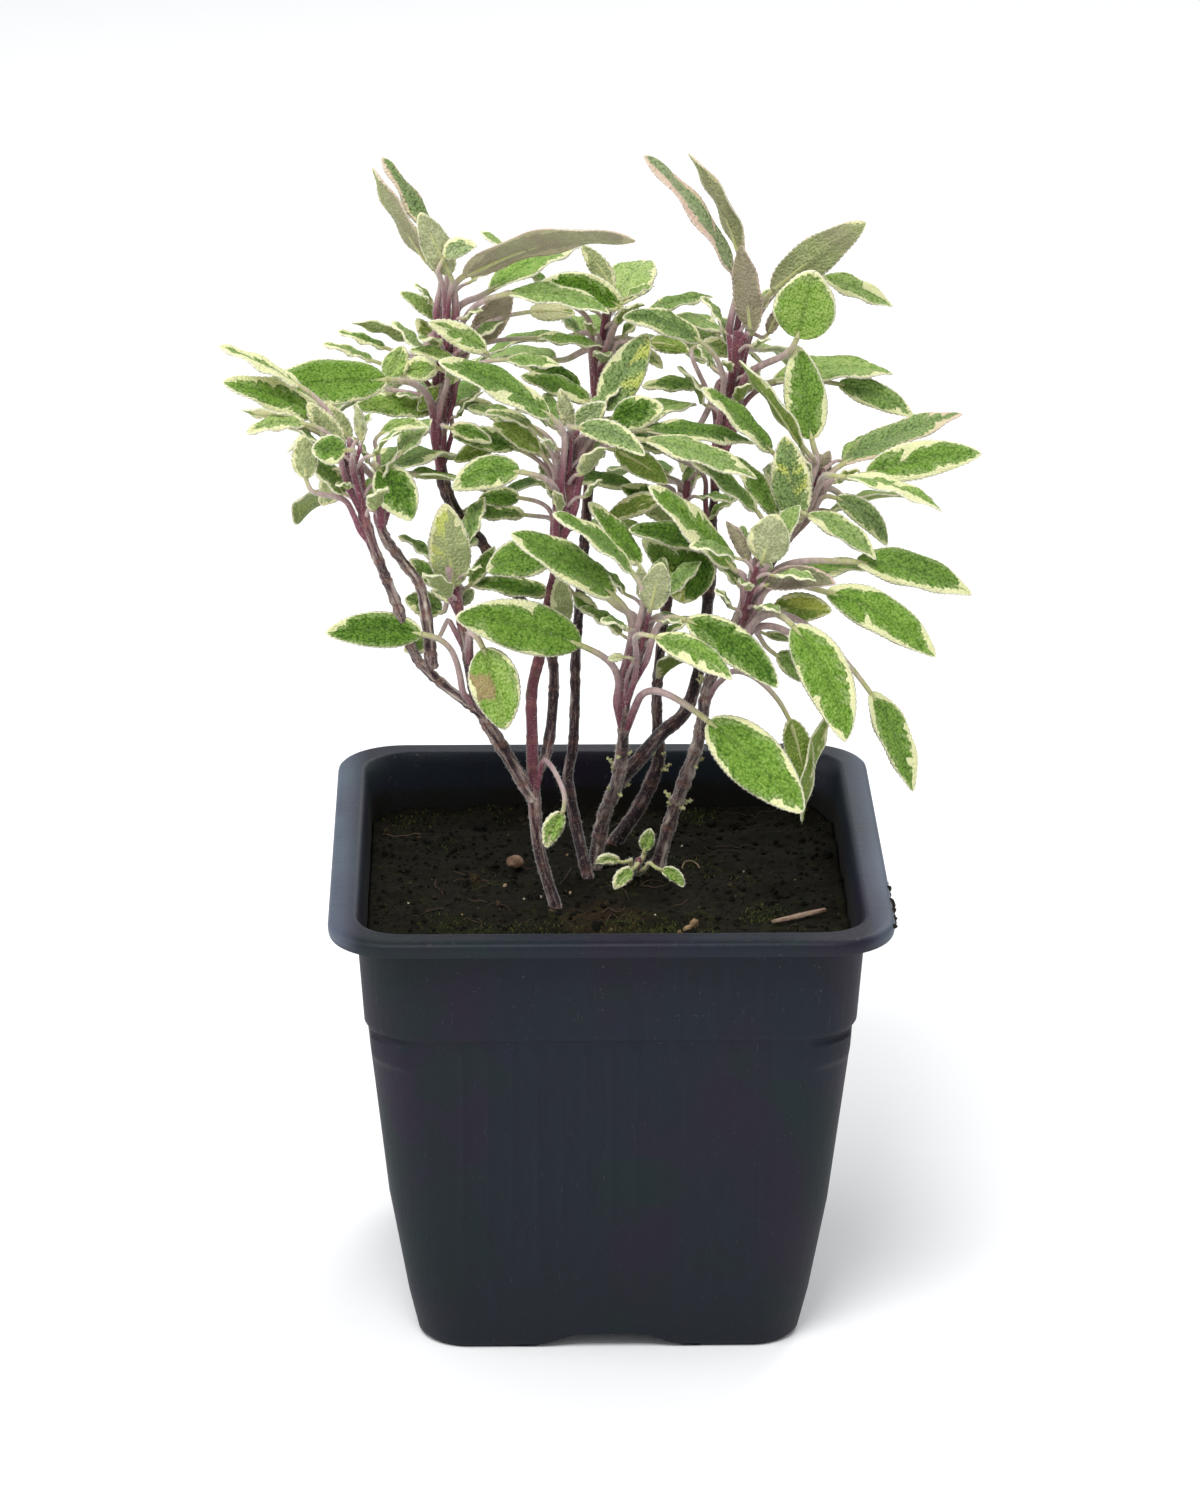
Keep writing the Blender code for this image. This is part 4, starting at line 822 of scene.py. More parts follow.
def solid_points(node):
    """Return the solid's points in a tree that finds the nearest one."""
    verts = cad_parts[node].data.vertices
    points = KDTree(len(verts))
    for index, vert in enumerate(verts):
        points.insert(vert.co / MM, index)
    points.balance()
    return points

# %% Leaves of all shoots
plants = {}               # for each shoot, pairs of a leaf in space and its entry
dice = random.Random(SPARE_SEED)
for key, shoot in SHOOTS.items():
    solid = solid_points(shoot.stem)
    entries = [read_leaf(row) for row in shoot.rows]
    pairs = [(place_leaf(entry, routes[key]), entry) for entry in entries]
    pairs += [(leaf, None) for leaf in spare_leaves(shoot, routes[key], dice)]
    found = [(find_leaf(leaf, solid), entry) for leaf, entry in pairs]
    plants[key] = [pair for pair in found if pair[0]]
    print(key, len(plants[key]), "leaves;", len(found) - len(plants[key]), "not in the solid")

# %% [markdown]
# ## Blades
#
# A sage blade is oblong, cupped along a sunken midrib, with side veins that run forward to the
# margin, blisters between them and small round teeth. It could be a subdivided plane with a
# displacement. Here each row of points is a closed ring that goes over the upper face and back
# under the lower one, so the blade is a closed body with a round margin. The numbers stored on the
# points tell the finish how far the margin is and how high the blister stands.

# %% Measures of a blade's skin
TOOTH = 1.0               # from tooth to tooth along the margin
TOOTH_DEEP = 0.20
ROWS_PER_TOOTH = 3
COLUMN_STEP = 0.38
LEAF_THICK = 0.46
BLISTER = 1.0
BLISTER_HIGH = 0.13
BLISTER_FOOT = 0.55       # how wide the slope of a blister is
VEIN_STEP = 3.1
VEIN_FORWARD = 0.8        # how far a side vein runs forward for each millimetre outward
GROOVE_WIDE = 0.3
RIB_WIDE = 0.42
RIB_SUNK = 0.34           # on the upper face
RIB_PROUD = 0.55          # under the blade
MARGIN_CURL = 0.10
CUP_SLENDER = 0.08
WAVE_LONG = 0.2           # as a share of the blade's length
BLADE_FULL = 0.62         # lower values make the blade's sides more parallel
BLADE_EARLY = 0.8         # lower values move its widest place towards its base
LEAF_APART = 11.0         # between two leaves in the noise of the finish
LANE_APART = 4.0          # between the two halves of a leaf there
LANE_LEAN = 0.2

# %% Blisters
def scatter(column, row, first, second):
    """Return a steady random number between 0 and 1 for each cell."""
    return np.modf(np.abs(np.sin(column * first + row * second) * 43758.5453))[0]


def blisters(x, y, size):
    """Return 1 on the blisters of a blade and 0 in the grooves between them."""
    column, row = np.floor(x / size), np.floor(y / size)
    nearest = np.full(x.shape, 9.0)
    second = np.full(x.shape, 9.0)
    for across in (-1, 0, 1):
        for along in (-1, 0, 1):
            c, r = column + across, row + along
            gap = np.hypot(c + 0.15 + 0.7 * scatter(c, r, 12.99, 78.23) - x / size,
                           r + 0.15 + 0.7 * scatter(c, r, 39.35, 11.14) - y / size)
            second = np.minimum(second, np.maximum(nearest, gap))
            nearest = np.minimum(nearest, gap)
    edge = np.clip((second - nearest) / BLISTER_FOOT, 0.0, 1.0)
    return 1.0 - (1.0 - edge) ** 2


def unit(vectors):
    """Make vectors one unit long."""
    return vectors / np.linalg.norm(vectors, axis=-1, keepdims=True)

# %% Blade maker
class Look(NamedTuple):
    """How a leaf is coloured."""
    tone: float           # how light its green is
    cream: float          # how wide its cream margin is, in millimetres
    pink: float           # how pink or purple it is
    grey: float           # how grey with hairs
    gold: float = 0.0


class Blades:
    """The blades of one piece, collected as one mesh with numbers on its points."""
    made = 0              # blades of all pieces

    def __init__(self):
        self.verts = []
        self.faces = []
        self.numbers = {}
        self.count = 0

    def note(self, name, values, ends):
        """Keep a number for each point of a blade's rows, then for its base and its tip."""
        self.numbers.setdefault(name, []).append(np.concatenate([values, ends]))

    def add(self, leaf, look):
        """Add one blade."""
        Blades.made += 1
        number = Blades.made
        length = (leaf.tip - leaf.base).length
        rows = ROWS_PER_TOOTH * max(4, round(length / TOOTH))
        columns = 2 * max(3, round(leaf.width / COLUMN_STEP / 2))
        share = np.linspace(0.0, 1.0, rows + 1)[1:-1]
        upper = np.linspace(-1.0, 1.0, columns + 1)
        lower = np.linspace(1.0, -1.0, columns // 2 + 1)[1:-1]
        v = np.concatenate([upper, lower])[None, :]
        face = np.concatenate([np.ones(len(upper)), -np.ones(len(lower))])[None, :]
        s = share[:, None]
        base, tip, arch = (np.array(part) for part in (leaf.base, leaf.tip, leaf.arch))
        middle = base + (tip - base) * s + arch * (4 * s * (1 - s))
        along = unit(tip - base + arch * (4 - 8 * s))
        across = unit(np.cross(along, np.array(leaf.normal)))
        up = np.cross(across, along)
        reach = leaf.width / 2 * np.sin(math.pi * s ** BLADE_EARLY) ** BLADE_FULL
        travel = s * length
        notch = TOOTH_DEEP * (1.0 - np.abs(np.sin(math.pi * travel / TOOTH)))
        notch = notch * np.clip(reach / 1.5, 0.0, 1.0)
        size = np.abs(v)
        x = v * reach - np.sign(v) * notch * size ** 7
        cup = CUP if leaf.width > WIDE_BLADE else CUP_SLENDER
        shape = cup * reach * size ** 1.5 - MARGIN_CURL * reach * size ** 8
        shape = shape + WAVE_HIGH * np.cos(math.pi * (s - 0.1) / WAVE_LONG) * v * size
        cell = BLISTER * (0.75 + 0.25 * min(length / 25, 1.0))
        dome = blisters(travel + 0 * v + number * 7.3, x + number * 3.7, cell)
        lane = travel - VEIN_FORWARD * np.abs(x)
        vein = np.abs(lane / VEIN_STEP - np.round(lane / VEIN_STEP)) * VEIN_STEP
        groove = np.exp(-(vein / GROOVE_WIDE) ** 2) * (1 - size ** 4)
        rib = np.exp(-(x / RIB_WIDE) ** 2) * (1 - s ** 3)
        dome = dome * np.clip((1 - size) * reach / 0.5, 0.0, 1.0)
        over = BLISTER_HIGH * (dome - 0.8 * groove) - RIB_SUNK * rib
        under = BLISTER_HIGH * (0.7 * dome - 0.9 * groove) - RIB_PROUD * rib
        thick = LEAF_THICK / 2 * np.sqrt(np.clip(1 - size ** 6, 0, 1))
        thick = thick * np.clip(reach / 1.2, 0.25, 1)
        high = shape + np.where(face > 0, thick + over, under - thick)
        ring = middle[:, None, :] + across[:, None, :] * x[..., None]
        ring = ring + up[:, None, :] * high[..., None]
        self.join(ring, base, tip)
        margin = np.minimum((1 - size) * reach, (1 - s) * length * 0.6 + 0.05)
        numbers = {"edge": (margin, 0.3, 0.0), "relief": (dome * (1 - 0.7 * groove), 0.4, 0.4),
                   "share": (s, 0.0, 1.0), "under": (face < 0, 0, 0), "rib": (rib, 0, 0)}
        numbers.update({name: (part, part, part) for name, part in look._asdict().items()})
        for name, (value, *ends) in numbers.items():
            self.note(name, np.broadcast_to(value, x.shape).ravel(), ends)
        for name, parts in (("place", (travel, x)),
                            ("lane", (lane, LANE_APART * np.sign(x) + LANE_LEAN * x))):
            spots = np.stack(np.broadcast_arrays(*parts, number * LEAF_APART), -1).reshape(-1, 3)
            self.note(name, spots, spots[[0, -1]])

    def join(self, rings, base, tip):
        """Add the points and faces of a body that closes its rings at the base and the tip."""
        count, width = rings.shape[:2]
        first = self.count
        last = first + count * width
        self.verts += [rings.reshape(-1, 3), base[None, :], tip[None, :]]
        steps = np.arange(width)
        after = (steps + 1) % width
        here = first + width * np.arange(count - 1)[:, None]
        above = here + width
        quads = np.stack([here + steps, here + after, above + after, above + steps], -1)
        self.faces += quads.reshape(-1, 4).tolist()
        pairs = list(zip(steps.tolist(), after.tolist()))
        self.faces += [(last, first + b, first + a) for a, b in pairs]
        self.faces += [(last - width + a, last - width + b, last + 1) for a, b in pairs]
        self.count = last + 2

    def make(self, name, stem, finish):
        """Make the piece."""
        numbers = {key: np.concatenate(values) for key, values in self.numbers.items()}
        piece = new_mesh(name, np.concatenate(self.verts), self.faces, **numbers)
        piece.data.shade_smooth()
        finish_piece(piece, stem, finish)
        return piece


print("a 28 mm blade has", ROWS_PER_TOOTH * round(28 / TOOTH), "rows of points")

# %% [markdown]
# ## The blade's colours
#
# Tricolor sage has a green middle, a cream margin of uneven width and purple or pink where the
# leaf is young. The finish reads the distance to the margin and lets two noises push the border in
# and out. Blisters are lighter than the grooves, as painted light and shade, and the sunk midrib
# has painted shade; young leaves are grey with hairs, and the underside is pale.

# %% Leaf finish
def leaf_finish():
    """Return the finish of the blades."""
    made = Finish("sage_blade", Roughness=0.62, Specular_IOR_Level=0.14, Sheen_Weight=0.06,
                  Sheen_Roughness=0.4, Subsurface_Weight=0.1, Subsurface_Scale=0.001,
                  Subsurface_Radius=(0.6, 1.0, 0.15))
    place, lane = (made.attribute(name, "Vector") for name in ("place", "lane"))
    edge, share, relief, pink, grey, gold = (made.attribute(name) for name in (
        "edge", "share", "relief", "pink", "grey", "gold"))
    half = made.apart(lane)[1]
    wide = made.noise(place, 0.11, 1.0)
    mid = made.noise(place, 0.4, 3.0, 0.6)
    side = made.noise(lane, 0.09, 1.0)
    jag = made.noise(lane, 0.9, 2.0, 0.6)
    spike = (made.noise(lane, 0.34, 1.0) - 0.55).step(0.0, 0.14)
    fine = made.noise(place, 3.5, 2.0, 0.6)
    pebble = made.add("ShaderNodeTexVoronoi", {
        "Vector": made.stretch(place, (0.85, 1.15, 1.0)), "Scale": 2.1,
        "Randomness": 0.85}, "Distance")
    pebble = 1.0 - (pebble * 1.3) ** 1.8

    # The cream margin, and the grey-green zone between it and the green
    patch = (side - 0.4).step(0.0, 0.2)
    border = (0.2 + made.attribute("cream") * (0.1 + patch * (0.95 + spike * 1.7))
              + (jag - 0.5) * (0.5 + patch * 1.3))
    margin = (border - edge + (pebble - 0.5) * 0.16).step(-0.1, 0.14)
    zone = border + 0.45 + (made.noise(lane, 0.8, 1.0) - 0.42) * (patch * 3.0 + 1.6)
    zone = (zone - edge).step(-0.3, 0.3) * 0.7

    # The green middle, grey where it is hairy and dusky where it is young
    # Painted light and shade: here and in the zone and grey mixes below, the green is lighter on
    # the blisters' tops and darker in the grooves between them; pale hairs on the tops add to it.
    tone = made.attribute("tone") + (mid - 0.5) * 0.3 + (pebble - 0.65) * 0.2
    tone = tone + (relief - 0.65) * 0.12
    green = made.ramp(tone, (0.0, (24, 50, 4)), (0.28, (58, 94, 14)), (0.55, (108, 148, 44)),
                      (1.0, (190, 208, 124)))
    green = made.mix(zone, green, made.mix(pebble, (106, 134, 62), (156, 176, 108)))
    pale = made.mix(relief * 0.2 + pebble * 0.7, (112, 128, 86), (188, 198, 152))
    green = made.mix(grey * (0.6 + 0.5 * mid), green, pale)
    dusk = made.mix(mid, (94, 74, 74), (150, 128, 120))
    blush = pink * 1.6 + (wide - 0.5) * 1.2 - share * 0.25
    green = made.mix((blush - 0.75).step(0.0, 0.9) * 0.85, green, dusk)

    # The yellow patch and the dry spot
    spread = made.noise(made.stretch(lane, (1.0, 1.0, 1.7)), 0.13, 2.0)
    yellow = gold * 0.6 + (spread - 0.5) - 0.6 + half * 0.02 + (share - 0.5) * 0.25
    yellow = (yellow + (pebble - 0.5) * 0.08).step(0.02, 0.09) * 0.8
    bright = made.mix(pebble, (170, 176, 62), (208, 212, 120))
    green = made.mix(yellow, green, bright)
    middle = share - 0.42
    dry = (0.5 - middle * middle * 14.0 + (mid - 0.5) * 1.4 + half * 0.1).step(0.3, 0.7)
    dry = dry * (0.0 - gold).step(0.4, 0.6) * (0.6 + pebble * 0.4)
    green = made.mix(dry, green, made.mix(fine, (128, 92, 62), (196, 172, 132)))

    # The margin and its pale rim over the green
    light = made.mix(fine * 0.5 + mid * 0.5, (238, 236, 190), (208, 210, 150))
    flush = made.mix(mid, (196, 150, 142), (226, 194, 178))
    light = made.mix((blush - 0.2).step(0.0, 0.8) * 0.8, light, flush)
    skin = made.mix(margin, green, light)
    rim = (edge - 0.4).step(0.0, -0.28)
    skin = made.mix(rim * 0.85, skin, made.mix(pink, (236, 234, 206), (212, 180, 176)))
    # Painted shade: on green leaves the sunk midrib is a darker green; on grey, hairy leaves it is
    # paler.
    groove = made.mix(grey, (64, 94, 20), (150, 158, 130))
    skin = made.mix(made.attribute("rib") * 0.35, skin, groove)

    # The underside
    bare = made.mix(pebble, (150, 168, 84), (98, 126, 46))
    hairy = made.mix(pebble, (188, 190, 148), (144, 150, 108))
    lower = made.mix((grey * 1.5 - 0.1).step(0.0, 1.0), bare, hairy)
    lower = made.mix(yellow, lower, bright)
    lower = made.mix(margin, lower, made.mix(fine, (236, 232, 186), (206, 204, 150)))
    violet = made.mix(mid * 0.6 + pebble * 0.4, (118, 98, 96), (174, 158, 138))
    lower = made.mix((blush - 0.35).step(0.0, 0.9) * 0.75, lower, violet)

    made.feed("Base Color", made.mix(made.attribute("under"), skin, lower))
    made.feed("Roughness", 0.5 + fine * 0.2)
    made.relief(pebble + made.noise(place, 7.0, 1.0) * 0.12, 0.17)
    return made


blade_skin = leaf_finish()
print("blade finish ready")

# %% [markdown]
# ## Which leaf looks how
#
# Most leaves are plain green with small changes by chance. The looks below are for the leaves that
# the photograph shows as lighter, greyer, pinker or with more cream than that.

# %% Looks, and the blades, one piece for each shoot
LOOKS = {
    "green": Look(0.58, 0.68, 0.0, 0.08), "dark": Look(0.38, 0.45, 0.0, 0.05),
    "bright": Look(0.72, 0.5, 0.0, 0.03), "wide": Look(0.56, 1.0, 0.0, 0.08),
    "striped": Look(0.52, 1.05, 0.0, 0.14), "pale": Look(0.60, 0.40, 0.10, 0.85),
    "grey": Look(0.45, 0.50, 0.12, 0.50), "pink": Look(0.45, 0.45, 0.55, 0.45),
    "purple": Look(0.35, 0.25, 0.95, 0.35), "cream": Look(0.65, 1.80, 0.0, 0.20),
    "olive": Look(0.80, 0.50, 0.05, 0.0), "mauve": Look(0.50, 1.60, 0.66, 0.90),
}
LOOK_SEED = 5


def look_of(entry, dice):
    """Return a leaf's look: the named one, or green with small changes."""
    if entry and entry.look:
        return LOOKS[entry.look]._replace(gold=entry.gold)
    green = LOOKS["green"]
    return Look(green.tone + dice.uniform(-0.2, 0.24), green.cream * dice.uniform(0.6, 1.35),
                dice.choice((0.0, 0.0, 0.18)), dice.uniform(0.03, 0.4))


dice = random.Random(LOOK_SEED)
blade_pieces = {}
for key, leaves in plants.items():
    blades = Blades()
    for leaf, entry in leaves:
        blades.add(leaf, look_of(entry, dice))
    blade_pieces[key] = blades.make(key + "_blades", SHOOTS[key].stem, blade_skin)

# %% [markdown]
# ## Stalks
#
# A leaf's stalk is long and soft, purple where it leaves the stem and green near the blade, and it
# goes on under the blade as the midrib. Each stalk is drawn as a line of points with its thickness
# and its colour stored on them. A tree turns the lines into curves, smooths them and sweeps a
# circle along them.

# %% Tree that sweeps tubes along lines
def tube_tree(name, finish, sides, step):
    """Return a tree that makes round tubes of lines, as thick as the lines say."""
    tree = Grower(name, Sides=sides, Step=step * MM)
    curve = tree.add("GeometryNodeMeshToCurve", {0: tree.given()})
    curve = tree.add("GeometryNodeCurveSplineType", {0: curve}, spline_type="CATMULL_ROM")
    ring = tree.add("GeometryNodeCurvePrimitiveCircle", {0: tree.given("Sides"), 4: 1.0})
    return tree.end(tree.sweep(curve, ring), finish)


# %% [markdown]
# Where many leaves leave a shoot at one place, their stalks run side by side before they part. So
# each line starts a little lower, beside the stem, follows it and then bends over to its blade.

# %% Lines
class Lines:
    """Lines of points with numbers on them, collected for one piece."""

    def __init__(self):
        self.verts = []
        self.edges = []
        self.numbers = {}

    def add(self, points, **numbers):
        """Add one line; a number is one for the line or one for each point."""
        first = len(self.verts)
        self.verts += [tuple(point) for point in points]
        self.edges += [(first + step, first + step + 1) for step in range(len(points) - 1)]
        for name, value in numbers.items():
            self.numbers.setdefault(name, []).extend(np.broadcast_to(value, len(points)))

    def make(self, name, tubes, node, slot="sage"):
        """Make the piece with a tree that sweeps tubes."""
        piece = grow(new_mesh(name, self.verts, (), self.edges, **self.numbers), tubes)
        finish_piece(piece, node)
        return piece

# %% Paths of the stalks
STALK_START = 0.82        # a stalk's radius at its foot
STALK_END = 0.55
STALK_APART = 1.9         # from the middle of the stem to that of a stalk beside it
RUN_BELOW = 6.0           # how far a stalk runs along its stem before it leaves
FOOT_PULL = 0.45          # how long a stalk follows its stem, against its length
BASE_PULL = 0.35
RIB_SHARES = (0.0, 0.06, 0.13, 0.22, 0.33, 0.45, 0.58, 0.71, 0.85)


def route_below(points, place, distance):
    """Return the place on a route that lies a distance before another one."""
    while place > 0 and distance > 0:
        index = min(max(math.ceil(place) - 1, 0), len(points) - 2)
        length = (points[index + 1] - points[index]).length
        step = min(distance / length, place - index)
        place -= step
        distance -= step * length
        if step <= 0:
            break
    return max(place, 0.0)


def nearest_place(points, distance, steps):
    """Return the place on a route whose point has the least distance."""
    places = np.linspace(0, len(points) - 1, steps)
    return min(places, key=lambda place: distance(along_route(points, place)[0]))


def stalk_line(leaf, points, root, aside):
    """Return a stalk's points from beside its stem to the base of its blade."""
    distance = (leaf.base - leaf.foot).length
    leave = (midrib(leaf, 0.04) - leaf.base).normalized()
    aside = (aside - leaf.rise * aside.dot(leaf.rise)).normalized()
    low = route_below(points, root, min(RUN_BELOW, distance * 0.8))
    start = along_route(points, root)[0] + aside * STALK_APART
    line = []
    for share in (0.0, 0.33, 0.67):
        spot = along_route(points, low + (root - low) * share)[0]
        line.append(spot + aside * (STALK_APART * (0.2 + 0.8 * share)))
    first_pull = start + leaf.rise * (FOOT_PULL * distance)
    second_pull = leaf.base - leave * (BASE_PULL * distance)
    steps = max(4, round(distance / 3))
    for step in range(steps + 1):
        t = step / steps
        line.append(start * (1 - t) ** 3 + first_pull * (3 * t * (1 - t) ** 2)
                    + second_pull * (3 * t * t * (1 - t)) + leaf.base * t ** 3)
    return line


def rib_line(leaf, thick):
    """Return the points of the midrib, which stands out under the blade."""
    line = []
    for share, radius in zip(RIB_SHARES, thick):
        along = (midrib(leaf, share + 0.02) - midrib(leaf, max(share - 0.02, 0.0))).normalized()
        up = (leaf.normal - along * leaf.normal.dot(along)).normalized()
        line.append(midrib(leaf, share) - up * ((radius + 0.1) * min(share / 0.12, 1.0)))
    return line

# %% Stalk finish
def stalk_finish():
    """Return the finish of the stalks: purple at the foot, green near the blade."""
    made = Finish("sage_stalk", Roughness=0.6, Specular_IOR_Level=0.25, Sheen_Weight=0.7,
                  Sheen_Roughness=0.35, Subsurface_Weight=0.1, Subsurface_Scale=0.0008)
    place = made.places()
    streak = made.noise(made.stretch(place, (1.2, 1.2, 0.3)), 1.0, 3.0, 0.6)
    fine = made.noise(place, 4.0, 2.0)
    dusk = made.attribute("dusk")
    green = made.mix(streak, (140, 148, 84), (208, 206, 150))
    purple = made.mix(streak, (124, 88, 92), (222, 202, 196))
    deep = made.mix(streak, (66, 20, 38), (150, 78, 100))
    purple = made.mix(dusk.step(0.55, 1.05) * 0.95, purple, deep)
    made.feed("Base Color", made.mix((dusk + (streak - 0.5) * 0.6).step(0.0, 0.5), green, purple))
    made.feed("Roughness", 0.48 + fine * 0.2)
    made.relief(fine * 0.4 + streak * 0.6, 0.12)
    return made


stalk_skin = stalk_finish()
stalk_tubes = tube_tree("stalk_tubes", stalk_skin, 8, 0.8)
print("stalk finish and tree ready")

# %% [markdown]
# Each shoot has grown in its own way: some stalks are more purple, some feet are old wood with
# rings where leaves have dropped, and some crowns are full of young leaves.

# %% How each shoot has grown, and its stalks
class Habit(NamedTuple):
    """How a shoot has grown."""
    purple: float         # how purple its stalks are
    wood: float           # how woody its foot is
    wood_end: float       # where the wood ends, as a share of its length
    ring_step: float
    ring_high: float
    pale: float           # how pale its wood is
    young: int            # leaves in its axils


HABITS = {
    "centre": Habit(1.0, 0.75, 0.3, 6.4, 0.1, 0.5, 13),
    "left": Habit(0.95, 1.0, 0.78, 5.8, 0.2, 0.65, 9),
    "second_left": Habit(0.9, 1.0, 0.72, 5.0, 0.18, 0.65, 5),
    "side": Habit(0.75, 0.8, 0.6, 5.5, 0.14, 0.6, 5),
    "tall": Habit(1.0, 0.9, 0.7, 7.6, 0.16, 0.4, 12),
    "front": Habit(0.85, 1.0, 0.8, 6.2, 0.24, 0.6, 7),
    "tall_right": Habit(0.95, 0.95, 0.7, 7.2, 0.16, 0.35, 10),
    "right": Habit(0.7, 1.0, 0.8, 6.6, 0.26, 0.7, 10),
    "upper_right": Habit(0.6, 0.9, 0.6, 6.0, 0.14, 0.5, 6),
    "back_left": Habit(0.8, 0.9, 0.7, 7.4, 0.14, 0.35, 9),
    "back_right": Habit(0.75, 0.95, 0.7, 7.0, 0.18, 0.4, 9),
    "seedling": Habit(0.15, 0.0, 0.5, 9.0, 0.0, 0.5, 0),
}


def add_stalk(lines, leaf, entry, points, purple):
    """Add a leaf's stalk and its midrib to the lines of a shoot."""
    small = min(1.0, 0.45 + leaf.width / 16)
    foot = leaf.foot + leaf.rise * STALK_SUNK
    root = entry.root if entry else nearest_place(points, lambda spot: (spot - foot).length, 200)
    stalk = stalk_line(leaf, points, root, leaf.base - foot)
    fade = np.linspace(0, 1, len(stalk))
    lines.add(stalk, thick=(STALK_START + (STALK_END - STALK_START) * fade) * small,
              dusk=purple * (1.3 - 1.2 * fade ** 1.5))
    thick = np.linspace(STALK_END * small, 0.1, len(RIB_SHARES))
    lines.add(rib_line(leaf, thick), thick=thick, dusk=np.linspace(purple * 0.1, -0.4, len(thick)))


stalk_pieces = {}
for key, leaves in plants.items():
    lines = Lines()
    for leaf, entry in leaves:
        add_stalk(lines, leaf, entry, routes[key], HABITS[key].purple)
    stalk_pieces[key] = lines.make(key + "_stalks", stalk_tubes, SHOOTS[key].stem)

# %% [markdown]
# ## Hairs
#
# Sage is hairy: a pale fuzz stands on the stalks and along each blade's margin and softens the
# outline. Blender's hair curves are dropped by an export, so the tree stands a cone with three
# sides on each point and realizes them.

# %% Tree that stands hairs on a skin
HAIR_LEAN = 0.6           # in radians, from standing straight up


def hair_tree(finish):
    """Return a tree that stands hairs where the skin's edge number is low."""
    tree = Grower("hairs", Density=2.4e6, Edge=0.3, Short=0.35 * MM, Long=0.8 * MM,
                  Radius=0.032 * MM, Seed=4)
    near = tree.add("FunctionNodeCompare", {0: tree.stored("edge"), 1: tree.given("Edge")},
                    data_type="FLOAT", operation="LESS_THAN")
    points = tree.sow(tree.given("Density"), near)
    cone = tree.add("GeometryNodeMeshCone", {0: 3, 1: 1, 3: 0.0, 4: tree.given("Radius"), 5: 1.0},
                    fill_type="NONE")
    lean = tree.chance((-HAIR_LEAN, -HAIR_LEAN, 0.0), (HAIR_LEAN, HAIR_LEAN, 6.3),
                       tree.given("Seed") + 1.0)
    lean = tree.add("FunctionNodeEulerToRotation", {0: lean})
    turn = tree.add("FunctionNodeRotateRotation", {0: points.output("Rotation"), 1: lean},
                    rotation_space="LOCAL")
    reach = tree.chance(tree.given("Short"), tree.given("Long"), 9)
    size = tree.add("ShaderNodeCombineXYZ", {0: 1.0, 1: 1.0, 2: reach})
    return tree.end(tree.stand(points, cone, turn, size), finish)


hair_skin = Finish("sage_hair", Roughness=0.6, Specular_IOR_Level=0.2)
hair_tint = hair_skin.noise(hair_skin.places(), 0.5, 2.0)
hair_skin.feed("Base Color", hair_skin.mix(hair_tint, (200, 192, 172), (228, 228, 216)))
hair_cones = hair_tree(hair_skin)

# %% Hairs of blades and stalks
def stand_hairs(skin, name, stem, seed, **inputs):
    """Make the hairs of one piece as a piece of their own, inside the solids' box."""
    hairs = bpy.data.objects.new(name, skin.data.copy())
    scene.collection.objects.link(hairs)
    grow(hairs, hair_cones, Seed=seed, **inputs)
    spots = np.empty(len(hairs.data.vertices) * 3, dtype=np.float32)
    hairs.data.vertices.foreach_get("co", spots)
    spots = np.clip(spots.reshape(-1, 3), cad_low, cad_high)
    hairs.data.vertices.foreach_set("co", spots.ravel())
    finish_piece(hairs, stem)


for seed, (key, piece) in enumerate(blade_pieces.items(), 40):
    stand_hairs(piece, key + "_margin_hairs", SHOOTS[key].stem, seed, Density=6.4e6, Edge=0.22,
                Long=0.55 * MM)
for seed, (key, piece) in enumerate(stalk_pieces.items(), 70):
    stand_hairs(piece, key + "_stalk_hairs", SHOOTS[key].stem, seed)

# %% [markdown]
# ## Stems
#
# The two stems in the middle and on the right are old and woody: grey-brown, with rings where
# leaves have dropped. The others are purple-red with thin rings and turn woody only near the soil.
# The rings are part of each line's thickness, and the tree adds a rough bark where the line says
# wood.

# %% Curve of a stem
STEM_STEP = 0.45
STEM_DEPTH = 5.0          # how far a stem goes into the soil
CROWN_FROM = 1.5          # radius of a route entry where stalks run beside the stem
CROWN_RADIUS = 0.95       # radius of the stem itself there
STEM_TAPER = 0.28


def smooth_route(points, radii):
    """Return a round curve through a route's points, with the radius at each step."""
    spots, thick = [], []
    for index in range(len(points) - 1):
        before = points[max(index - 1, 0)]
        start, finish = points[index], points[index + 1]
        after = points[min(index + 2, len(points) - 1)]
        steps = max(2, round((finish - start).length / STEM_STEP))
        for step in range(steps + (index == len(points) - 2)):
            t = step / steps
            spot = (start * 2 + (finish - before) * t
                    + (before * 2 - start * 5 + finish * 4 - after) * t ** 2
                    + (start * 3 - before - finish * 3 + after) * t ** 3) / 2
            spots.append(spot)
            thick.append(radii[index] + (radii[index + 1] - radii[index]) * t)
    return spots, np.array(thick)

